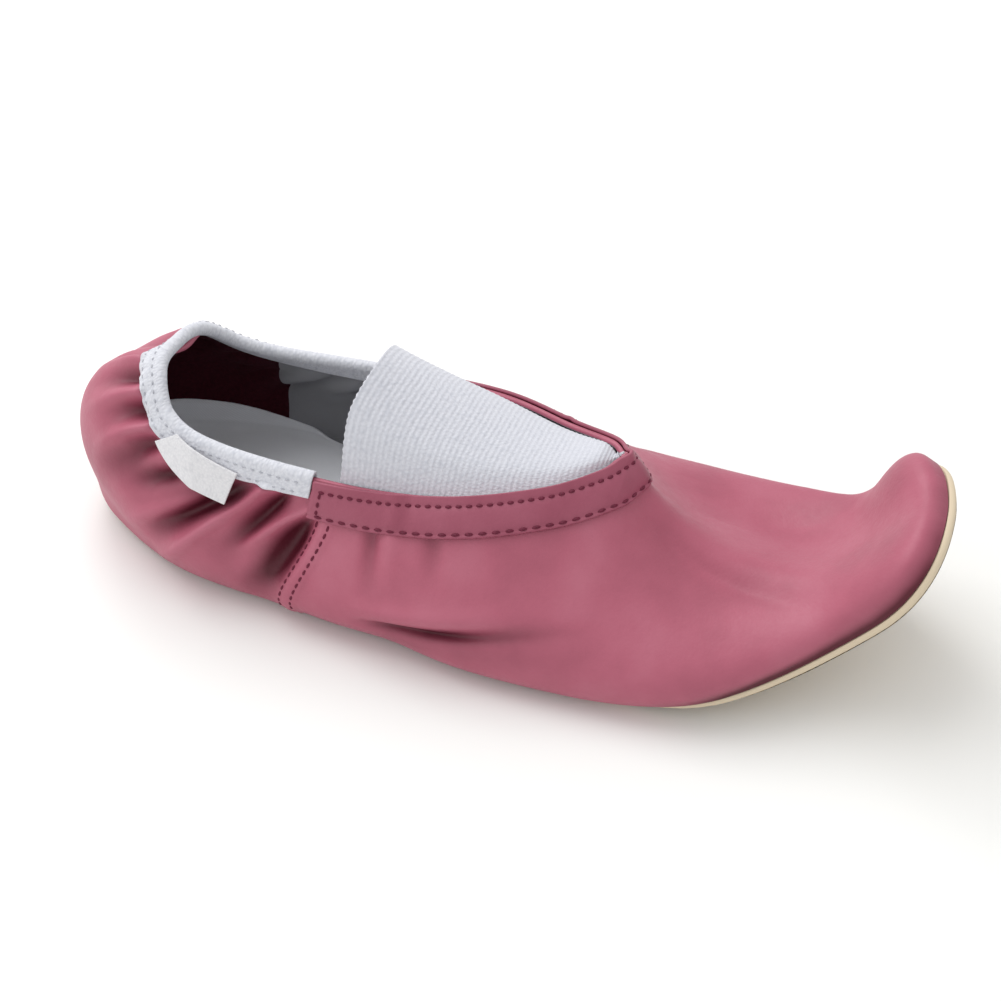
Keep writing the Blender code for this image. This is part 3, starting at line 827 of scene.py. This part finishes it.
def sole_margin(u):
    """How far the sole reaches past the feather line: tucked in at heel and waist, out at the toe."""
    around = np.abs(around_foot(u))
    toe = soft_step((around - FOREFOOT_FROM) / FOREFOOT_RUN)
    tip = soft_step((around - SOLE_TIP_FROM) / SOLE_TIP_RUN)
    reach = SOLE_REACH[0] * (1 - toe) + SOLE_REACH[1] * (toe - tip) + SOLE_REACH[2] * tip
    return reach + slump(u, 0 * u)


def sole_rings():
    """The rings of the skin in order: share of the way out, tuck and height in mm, 1 on the tread."""
    inner = np.linspace(0, INNER_RINGS_TO, SOLE_RINGS)
    rings = [(share, 0.0, 0.0, 1.0) for share in inner]
    for angle in np.linspace(-math.pi / 2, math.pi / 2, 9):
        tuck = SOLE_ROUNDING[int(angle > 0)] * (math.cos(angle) - 1)
        rings.append((1.0, tuck, SOLE_THICKNESS / 2 * (1 + math.sin(angle)), 0.0))
    return rings + [(share, 0.0, SOLE_THICKNESS, 0.0) for share in inner[::-1]]


sole_u = np.linspace(0, SECTIONS, SOLE_COLUMNS + 1)
spine_s, spine_y = spine(sole_u)
sole_s, sole_y, sole_h, tread = [], [], [], []
for share, tuck, height, on_tread in sole_rings():
    edge_s, edge_y = feather_line(sole_u, sole_margin(sole_u) + tuck)
    sole_s.append(spine_s * (1 - share) + edge_s * share)
    sole_y.append(spine_y * (1 - share) + edge_y * share)
    sole_h.append(height + 0 * sole_u)
    tread.append(on_tread + 0 * sole_u)
sole_s, sole_y, sole_h, tread = (np.stack(rows, 1) for rows in (sole_s, sole_y, sole_h, tread))
sole = lay("rubber_sole", (sole_rubber,), roll_up(sole_s, sole_y, sole_h), stack(sole_s, sole_y),
           close=True, tread=tread)
place_in_frame(sole, "outsole", "dimpled_rubber")

# %% [markdown]
# The sock is a cloth that covers the sole inside. At the heel it is wider than the sole, so that its
# rim turns up along the leather. In front it lies level, a little in from the leather.

# %% Sock
SOCK_THICKNESS, SOCK_TOP = 0.8, FEATHER_H + 1.7
SOCK_INSET, FRONT_INSET = 3.2, 4.0
RIM_WIDTH, RIM_OFF = 3.0, 0.4
# heights v between which the rim turns up, and where round the foot it ends and the front starts
CUP_LOW, CUP_HIGH = 0.05, 0.19
CUP_TO, CUP_RUN = 1.6, 1.2
FRONT_FROM, FRONT_RUN = 3.5, 1.5
aside = np.abs(around_foot(sole_u))
heel_share = 1 - soft_step((aside - CUP_TO) / CUP_RUN)
front_share = soft_step((aside - FRONT_FROM) / FRONT_RUN)
turn = np.minimum(1, 3 * heel_share)[:, None]
sock_margin = slump(sole_u, 0 * sole_u) - SOCK_INSET - FRONT_INSET * front_share
edge_s, edge_y = feather_line(sole_u, sock_margin)
sock_rows, sock_flat = [], []
for share in np.linspace(0, 1, 14):
    s = spine_s * (1 - share) + edge_s * share
    y = spine_y * (1 - share) + edge_y * share
    sock_rows.append(roll_up(s, y, SOCK_TOP + 0 * s))
    sock_flat.append(stack(s, y))
for share in np.linspace(0.1, 1, 6):
    v = CUP_LOW + (CUP_HIGH - CUP_LOW) * share * heel_share
    turned_up = wall(sole_u, v) - wall_normal(sole_u, v) * (WALL + RIM_OFF)
    level = roll_up(*feather_line(sole_u, sock_margin + share), SOCK_TOP + 0 * sole_u)
    sock_rows.append(turned_up * turn + level * (1 - turn))
    sock_flat.append(stack(*feather_line(sole_u, RIM_WIDTH * share)))
sock = lay("sock_lining", (sock_cotton,), np.stack(sock_rows, 1), np.stack(sock_flat, 1), close=True)
thicken(sock, SOCK_THICKNESS, 1)
place_in_frame(sock, "insole", "textile_sock")

# %% [markdown]
# The facing is a strip of the same leather round the throat, sewn down with two rows of dark thread.
# The thread pulls the strip in along each row, so the rows lie in shallow furrows with a puff between
# them. The strip has one small pleat on the outer side and a smaller one on the inner side.

# %% Throat facing
FACING_THICKNESS, FACING_WIDTH = 0.9, 9.6
FACING_OFF, FACING_PUFF, FACING_ROUNDING = 0.35, 0.25, 0.3
STITCH_ROWS = (2.4, 8.6)
ROW_DEPTH, ROW_WIDTH = 0.25, 0.8
PLEAT_HEIGHT, PLEAT_RUN = 0.45, 3.0
# place round the foot, half width in u, share of the height: a ridge and its hollow, the inner ridge
PLEATS = ((3.63, 0.045, 1.0), (3.75, 0.05, -0.8), (SECTIONS - 4.9, 0.05, 0.6))
FACING_MM_PER_U = 22.0
facing_u = np.linspace(SEAM_OUT + 0.02, SEAM_IN - 0.02, 300)
facing_d = np.linspace(FACING_WIDTH, 0, 30)
mesh_u, mesh_d = np.meshgrid(facing_u, facing_d, indexing="ij")


def facing_lift(u, d):
    """How far the facing stands off the wall at u, a distance d below its edge, in mm."""
    furrows = sum(np.exp(-((d - row) / ROW_WIDTH) ** 2) for row in STITCH_ROWS)
    pleats = sum(share * np.exp(-((u - place) / width) ** 2) for place, width, share in PLEATS)
    pleats = pleats * soft_step((FACING_WIDTH - d) / PLEAT_RUN)
    puff = np.sin(np.pi * np.clip((d - STITCH_ROWS[0]) / (STITCH_ROWS[1] - STITCH_ROWS[0]), 0, 1))
    return FACING_OFF - ROW_DEPTH * furrows + FACING_PUFF * puff + PLEAT_HEIGHT * pleats


facing_places = beside_wall(mesh_u, mesh_d, facing_lift(mesh_u, mesh_d))
facing_flat = stack(mesh_u * FACING_MM_PER_U, mesh_d)
facing = lay("throat_facing_strip", (facing_leather,), facing_places, facing_flat)
thicken(facing, FACING_THICKNESS, 1)
round_edges(facing, FACING_ROUNDING)
place_in_frame(facing, "throat_facing", "facing_leather")

# %% [markdown]
# The elastic is woven with rubber threads inside, so it has a fine rib across the foot, about 1.3 mm
# apart. The ribs are modelled with the gore. The loops of the knit are finer and are drawn in the
# finish, which the collar tape and the plain tape of the tab share in shades of their own.

# %% Finish: ribbed elastic and tape


def white_elastic(name, light, dark, spacing, strength):
    """Knitted tape on a UV map in mm: dull white, speckled by loops this many mm apart."""
    finish, tree, shader = new_finish(name, Roughness=0.82, Specular_IOR_Level=0.25, Sheen_Weight=0.2)
    where = add(tree, "ShaderNodeUVMap").outputs["UV"]
    knit = add(tree, "ShaderNodeTexVoronoi", {"Vector": where, "Scale": 1 / spacing})
    speckle = add(tree, "ShaderNodeTexNoise", {"Vector": where, "Scale": 0.6, "Detail": 3.0})
    both = add(tree, "ShaderNodeMath", {0: knit.outputs["Distance"], 1: speckle.outputs["Fac"]},
               operation="MULTIPLY")
    ramp = add(tree, "ShaderNodeValToRGB", {"Fac": both.outputs[0]})
    ramp.color_ramp.elements[0].color = chart(light)
    ramp.color_ramp.elements[1].color = chart(dark)
    tree.links.new(ramp.outputs["Color"], shader.inputs["Base Color"])
    bump = add(tree, "ShaderNodeBump",
               {"Height": knit.outputs["Distance"], "Strength": strength, "Distance": 0.0003})
    tree.links.new(bump.outputs["Normal"], shader.inputs["Normal"])
    return finish


gore_elastic = white_elastic("ribbed_elastic", "#D1D2D9", "#B2B5BF", 0.8, 0.4)
collar_tape = white_elastic("elastic_tape", "#DADBE1", "#AEB1BC", 0.7, 0.6)
bare_tape = white_elastic("woven_tape", "#E2E1E3", "#C3C3C8", 0.5, 0.3)
print("tapes", gore_elastic.name, collar_tape.name, bare_tape.name)

# %% [markdown]
# The gore is a piece of that elastic, sewn under both sides of the throat and stretched across the
# instep. No foot holds it up here, so it sinks towards the throat's point, and only its rear edge
# stands up in an arch. Each rung crosses the foot on a smooth curve from the hem under one side, over
# a shoulder, the crown and the other shoulder, to the hem under the other side.

# %% Instep gore
GORE_REAR, GORE_FRONT = SEAM_OUT + 0.2, 7.85
GORE_THICKNESS, GORE_TUCK, GORE_UNDER = 1.0, 6.0, WALL + 0.5
# how high and how far ahead the crown stands, how far out and how high the shoulders are
GORE_RISE, GORE_AHEAD, GORE_FULLNESS, GORE_SHOULDER = 19.8, 1.6, 0.66, 0.73
# share of that height at the point, just behind it, and added towards the rear edge
SLACK_POINT, SLACK_NOSE, SLACK_REAR, NOSE_RUN = 0.02, 0.12, 0.86, 0.1
RIB_PITCH, RIB_STEPS, RIB_HEIGHT = 1.3, 6, 0.06
# the cut rear edge is a little ragged: how far a thread stands out or in, and how deep that goes
RAGGED_OUT, RAGGED_IN, RAGGED_DEPTH = 0.20, -0.05, 0.5
GORE_STEPS, GORE_RUNGS = 90, 120


def open_curve(points, t):
    """Points on a smooth open curve through a few places, t from 0 to 1 by their spacing."""
    lengths = run_length(points)
    after = np.minimum(np.arange(len(points)) + 1, len(points) - 1)
    before = np.maximum(np.arange(len(points)) - 1, 0)
    slopes = (points[after] - points[before]) / (lengths[after] - lengths[before])[:, None]
    reach = t * lengths[-1]
    i = np.clip(np.searchsorted(lengths, reach, side="right") - 1, 0, len(points) - 2)
    w = (lengths[i + 1] - lengths[i])[:, None]
    k = (reach - lengths[i])[:, None] / w
    return (points[i] * (1 + 2 * k) * (1 - k) ** 2 + points[i + 1] * k * k * (3 - 2 * k)
            + (slopes[i] * k * (1 - k) ** 2 - slopes[i + 1] * k * k * (1 - k)) * w)


def gore_rung(u):
    """One line across the gore, from hem to hem, in mm."""
    rear, here, tip = last_value("top_s", np.array([GORE_REAR, u, GORE_FRONT]))
    back = (tip - here) / (tip - rear)
    slack = SLACK_POINT + SLACK_NOSE * soft_step(back / NOSE_RUN) + SLACK_REAR * back ** 2
    sides = np.array([u, SECTIONS - u])
    ends = beside_wall(sides, GORE_TUCK, -GORE_UNDER * np.ones(2))
    edges = beside_wall(sides, 0.0, -GORE_UNDER * np.ones(2))
    middle = edges.mean(0)
    crown = middle + np.array([GORE_AHEAD, 0, GORE_RISE]) * slack
    shoulders = edges * GORE_FULLNESS + middle * (1 - GORE_FULLNESS)
    shoulders = shoulders + np.array([0, 0, GORE_RISE * GORE_SHOULDER]) * slack
    route = np.array([ends[0], edges[0], shoulders[0], crown, shoulders[1], edges[1], ends[1]])
    return open_curve(route, np.linspace(0, 1, GORE_STEPS + 1))


rungs = np.array([gore_rung(u) for u in np.linspace(GORE_REAR, GORE_FRONT, GORE_RUNGS)])
run = run_length(rungs[:, GORE_STEPS // 4])
rib_steps = np.arange(0, run[-1], RIB_PITCH / RIB_STEPS)
which = np.interp(rib_steps, run, np.arange(GORE_RUNGS))
low = np.clip(which.astype(int), 0, GORE_RUNGS - 2)
part = (which - low)[:, None, None]
gore_places = rungs[low] * (1 - part) + rungs[low + 1] * part
gore_flat = stack(*np.meshgrid(rib_steps, run_length(gore_places[0]), indexing="ij"))
gore_along = unit(np.gradient(gore_places, axis=0))
gore_normal = unit(np.cross(gore_along, np.gradient(gore_places, axis=1)))
ribs = RIB_HEIGHT * np.cos(2 * np.pi * np.arange(len(rib_steps)) / RIB_STEPS)
ragged = np.where(np.arange(GORE_STEPS + 1) % 2 == 0, RAGGED_OUT, RAGGED_IN)
ragged = ragged * np.exp(-rib_steps / RAGGED_DEPTH)[:, None]
gore_places = gore_places + gore_normal * ribs[:, None, None] - gore_along * ragged[..., None]
gore = lay("instep_gore", (gore_elastic,), gore_places, gore_flat)
faces_up = gore_normal[0, GORE_STEPS // 2, 2] > 0
thicken(gore, GORE_THICKNESS, -1 if faces_up else 1)
place_in_frame(gore, "instep_elastic", "woven_elastic")

# %% [markdown]
# The collar is bound with an elastic tape, folded over the edge of the leather and sewn through. It
# is a little ruffled, because it was stretched while it was sewn.

# %% Collar binding
TAPE_THICKNESS, TAPE_ROUNDING, TAPE_GAP = 0.7, 0.25, 0.3
BINDING_STITCHES = (1.2, 3.8)
# off the leather at the edge, and more at the tape's lower rim; how far its lower row is pulled in
TAPE_OFF, RIM_LIFT = 0.35, 0.4
ROW_PULL, ROW_PULL_WIDTH = 0.22, 0.7
# height in mm, waves for each section, start of two ruffles
RUFFLES = ((0.16, 19, 0), (0.10, 33, 1))
# depth over which the tape starts to follow the folds of the leather
FOLLOW_RUN = 3.0
binding_u = np.linspace(SEAM_IN - SECTIONS + 0.02, SEAM_OUT + 0.01, 260)
OUTSIDE = [("outside", d) for d in np.linspace(BINDING_OUTSIDE, 0, 10)]
OVER = [("over", a) for a in np.linspace(0, math.pi, 8)[1:-1]]
INSIDE = [("inside", d) for d in np.linspace(0, BINDING_INSIDE, 7)]


def binding_offset(u, depth):
    """How far the outside of the tape stands off the smooth wall, a depth below the edge, in mm."""
    v = down_from_top(u, depth)
    leather = leather_lift(u, v) + (swell(u, v) * wall_normal(u, v)).sum(-1)
    leather = leather * soft_step(depth / FOLLOW_RUN)
    ruffle = sum(height * np.sin(waves * u + start) for height, waves, start in RUFFLES)
    pulled = ROW_PULL * np.exp(-((depth - BINDING_STITCHES[1]) / ROW_PULL_WIDTH) ** 2)
    return TAPE_OFF + leather + (RIM_LIFT + ruffle) * depth / BINDING_OUTSIDE - pulled


def binding_line(kind, amount):
    """One line of the tape along the collar, on its outside, over its edge or on its inside, in mm."""
    if kind == "outside":
        return beside_wall(binding_u, amount, binding_offset(binding_u, amount + 0 * binding_u))
    if kind == "inside":
        return beside_wall(binding_u, amount, -WALL - TAPE_GAP + 0 * binding_u)
    edge = smooth_wall(binding_u, 1.0)
    rise = unit(edge - smooth_wall(binding_u, 0.98))
    away = wall_normal(binding_u, 1.0)
    reach = WALL / 2 + TAPE_GAP
    return edge - away * WALL / 2 + (away * math.cos(amount) + rise * math.sin(amount)) * reach


binding_places = np.stack([binding_line(*step) for step in OUTSIDE + OVER + INSIDE], 1)
# the flat size is measured along the lower rim, and across the tape near the back of the heel
tape_along, tape_across = run_length(binding_places[:, 0]), run_length(binding_places[100])
binding_flat = stack(*np.meshgrid(tape_along, tape_across, indexing="ij"))
binding = lay("collar_tape", (collar_tape,), binding_places, binding_flat)
thicken(binding, TAPE_THICKNESS, 1)
round_edges(binding, TAPE_ROUNDING)
place_in_frame(binding, "collar_binding", "elastic_tape")

# %% [markdown]
# A small tab of plain white tape is caught under the binding on the outer side of the heel. It is
# stiffer than the leather, so it bows off it between its two ends. Three lines down the tab, at both
# ends and in the middle, give its shape.

# %% Side tab
# top u, top v, bottom u, bottom v, how far it stands off at its top and bottom
TAB_LINES = (
    (1.95, 0.985, 1.80, 0.85, 1.5, 1.7),
    (2.13, 0.965, 2.23, 0.72, 2.2, 3.0),
    (2.48, 0.905, 2.45, 0.69, 1.5, 1.6),
)
TAB_HALF_LENGTH, TAB_DEPTH, TAB_ROUNDING = 9.0, 7.0, 0.2
tab_along, tab_down = np.meshgrid(np.linspace(0, 2, 61), np.linspace(1, 0, 25), indexing="ij")
between = [np.interp(tab_along, (0, 1, 2), column) for column in zip(*TAB_LINES)]
top_u, top_v, low_u, low_v, top_off, low_off = between
tab_u = top_u * (1 - tab_down) + low_u * tab_down
tab_v = top_v * (1 - tab_down) + low_v * tab_down
tab_off = top_off * (1 - tab_down) + low_off * tab_down
tab_places = smooth_wall(tab_u, tab_v) + wall_normal(tab_u, tab_v) * tab_off[..., None]
tab_flat = stack(tab_along * TAB_HALF_LENGTH, tab_down * TAB_DEPTH)
tab = lay("side_tab_tape", (bare_tape,), tab_places, tab_flat)
thicken(tab, TAPE_THICKNESS, 1)
round_edges(tab, TAB_ROUNDING)
place_in_frame(tab, "side_tab", "bare_tape")

# %% [markdown]
# Stitches are what the eye reads first. The leather is sewn with burgundy thread and the collar with
# white. The thread is twisted, so it is flecked along its length; the white thread's dark flecks
# are deepened to grey as painted shade of its needle holes.

# %% Finish: sewing thread


def sewing_thread(name, light, dark):
    """Twisted cotton thread: half dull, flecked light and dark along its twist."""
    finish, tree, shader = new_finish(name, Roughness=0.6, Specular_IOR_Level=0.3)
    where = add(tree, "ShaderNodeTexCoord").outputs["Object"]
    twist = add(tree, "ShaderNodeTexNoise", {"Vector": where, "Scale": per_metre(0.5), "Detail": 2.0})
    ramp = add(tree, "ShaderNodeValToRGB", {"Fac": twist.outputs["Fac"]})
    ramp.color_ramp.elements[0].color = chart(dark)
    ramp.color_ramp.elements[1].color = chart(light)
    tree.links.new(ramp.outputs["Color"], shader.inputs["Base Color"])
    return finish


dark_thread = sewing_thread("burgundy_thread", "#7A2440", "#4A0E22")
# grey flecks: the twist, deepened as painted shade of the needle holes
white_thread = sewing_thread("white_thread", "#C9CAD0", "#8E909A")
print("threads", dark_thread.name, white_thread.name)

# %% [markdown]
# Each stitch is a short length of thread that rises from one hole and dives into the next. One
# stitch is modelled, and copies of it are joined into one piece for each row, laid along the same
# lines as the furrows.

# %% Rows of stitches
# pitch in mm, share of it that shows, radius in mm
FACING_STITCHES = ((2.3, 0.74, 0.36), (3.0, 0.74, 0.36))
END_STITCHES = (2.0, 0.74, 0.36)
SEAM_STITCHES = (2.0, 0.88, 0.33)
COLLAR_STITCHES = (2.2, 0.60, 0.22)
# a stitch tapers to this share of its radius, and rises and dips by these numbers of radii
STITCH_END, STITCH_RISE, STITCH_DIP = 0.25, 0.88, 0.48
# how far inside the seams the rows end and the short rows lie, in u, and the seam rows' heights v
ROW_ENDS_IN, END_ROW_IN = 0.06, 0.09
SEAM_ROW = (0.78, 0.12)


def stitch_row(name, path, normals, pitch, share, radius, finish, slot):
    """Copies of one stitch along a path in mm, each a share of the pitch long."""
    steps = run_length(path)

    def at(line, place):
        """The value of a line this many mm along the path."""
        return np.array([np.interp(place, steps, line[:, axis]) for axis in range(3)])

    deselect_all()
    bpy.ops.mesh.primitive_cylinder_add(vertices=6, radius=1, depth=1, end_fill_type="NOTHING")
    row = bpy.context.object
    row.name = row.data.name = name
    bpy.ops.object.mode_set(mode="EDIT")
    bpy.ops.mesh.select_all(action="SELECT")
    bpy.ops.mesh.subdivide(number_cuts=4, quadcorner="STRAIGHT_CUT")
    bpy.ops.object.mode_set(mode="OBJECT")
    one = np.array([v.co for v in row.data.vertices])
    faces = [tuple(p.vertices) for p in row.data.polygons]
    t = one[:, 2] + 0.5
    taper = np.sqrt(np.clip(1 - (2 * t - 1) ** 2, 0, 1)) * (1 - STITCH_END) + STITCH_END
    aside = one[:, 0] * taper * radius
    above = (one[:, 1] * taper + STITCH_RISE * np.sin(np.pi * t) - STITCH_DIP) * radius
    places, corners = [], []
    for k in range(int(steps[-1] / pitch)):
        start, end = (at(path, (k + 0.5 + half * share) * pitch) for half in (-0.5, 0.5))
        side = unit(np.cross(at(normals, (k + 0.5) * pitch), end - start))
        up = np.cross(unit(end - start), side)
        corners += [tuple(i + len(places) * len(one) for i in face) for face in faces]
        places.append(start + np.outer(t, end - start) + np.outer(aside, side) + np.outer(above, up))
    mesh = bpy.data.meshes.new(name)
    mesh.from_pydata((np.concatenate(places) * MM).tolist(), [], corners)
    mesh.materials.append(finish)
    row.data = mesh
    row.select_set(True)
    bpy.ops.object.shade_smooth()
    place_in_frame(row, None, slot)


# %% [markdown]
# The facing has its two rows and a short one across each rear end. Each side seam has a row along
# both edges of its strip, and the collar tape two rows of white thread.

# %% Sew the facing, the seams and the collar


def sew(name, u, depth, lift, stitch, finish, slot):
    """A row of stitches on a strip that stands off the wall by a lift, a depth below its top edge."""
    normals = wall_normal(u, down_from_top(u, depth))
    stitch_row(name, beside_wall(u, depth, lift), normals, *stitch, finish, slot)


row_u = np.linspace(SEAM_OUT + ROW_ENDS_IN, SEAM_IN - ROW_ENDS_IN, 500)
end_depth = np.linspace(*STITCH_ROWS, 40)
facing_rows = [(f"stitches_{k + 1}", row_u, STITCH_ROWS[k] + 0 * row_u, FACING_STITCHES[k]) for k in (0, 1)]
for word, place in (("outer", SEAM_OUT + END_ROW_IN), ("inner", SEAM_IN - END_ROW_IN)):
    facing_rows.append((f"end_stitches_{word}", place + 0 * end_depth, end_depth, END_STITCHES))
for word, u, depth, stitch in facing_rows:
    sew(f"facing_{word}", u, depth, facing_lift(u, depth) + FACING_THICKNESS,
        stitch, dark_thread, "facing_leather")

seam_v = np.linspace(*SEAM_ROW, 120)
for side, word in ((1, "outer"), (-1, "inner")):
    middle = seam_place(seam_v, side)
    reach = (SEAM_HALF_WIDTH - SEAM_STITCHES_IN) / mm_per_step(middle, seam_v)[0]
    for edge in (-1, 1):
        u = middle + edge * reach
        end = "front" if edge * side > 0 else "rear"
        stitch_row(f"seam_stitches_{word}_{end}", wall(u, seam_v), wall_normal(u, seam_v),
                   *SEAM_STITCHES, dark_thread, "soft_leather")

tape_u = np.linspace(SEAM_IN - SECTIONS + ROW_ENDS_IN, SEAM_OUT - ROW_ENDS_IN, 400)
for number, depth in enumerate(BINDING_STITCHES):
    lift = binding_offset(tape_u, depth + 0 * tape_u) + TAPE_THICKNESS
    sew(f"collar_stitches_{number + 1}", tape_u, depth, lift, COLLAR_STITCHES, white_thread, "elastic_tape")

# %% [markdown]
# The stage is a pale floor under soft studio light: a big soft box high behind the heel, a weaker one
# behind it on the outer side, a small one nearer on the inner side, and a white surround that fills
# the shadows. The floor lies just under the sole, so that the two don't share a plane. The standard
# view keeps the whites of the photograph white, where a filmic one would turn them grey.

# %% Floor and light
FLOOR_SIZE, FLOOR_DROP = 6.0, 0.0002
SURROUND = 0.80
deselect_all()
bpy.ops.mesh.primitive_plane_add(size=FLOOR_SIZE, location=(0, 0, -FLOOR_DROP))
floor = bpy.context.object
floor.name = "floor"
paper = new_finish("white_paper", Base_Color=chart("#F2F2F0"), Roughness=0.9)[0]
floor.data.materials.append(paper)


def soft_box(name, place, size, power):
    """A square area light that looks at the shoe: place and size in metres, power in watts."""
    bpy.ops.object.light_add(type="AREA", location=place)
    box = bpy.context.object
    box.name = name
    box.data.size = size
    box.data.energy = power
    towards = -np.array(place)
    box.rotation_euler = (math.atan2(math.hypot(towards[0], towards[1]), -towards[2]), 0,
                          math.atan2(towards[0], -towards[1]) + math.pi)


soft_box("key_light", (-0.55, 0.25, 0.95), 1.0, 6.4)
soft_box("side_light", (-0.75, -0.75, 0.6), 0.9, 1.1)
soft_box("back_light", (-0.30, 0.34, 0.42), 0.22, 0.6)
bpy.context.scene.view_settings.view_transform = "Standard"
world = bpy.data.worlds.new("white_surround")
world.use_nodes = True
surround = world.node_tree.nodes["Background"]
surround.inputs["Color"].default_value = chart("#FFFFFF")
surround.inputs["Strength"].default_value = SURROUND
bpy.context.scene.world = world
print(len(bpy.data.lights), "lights")
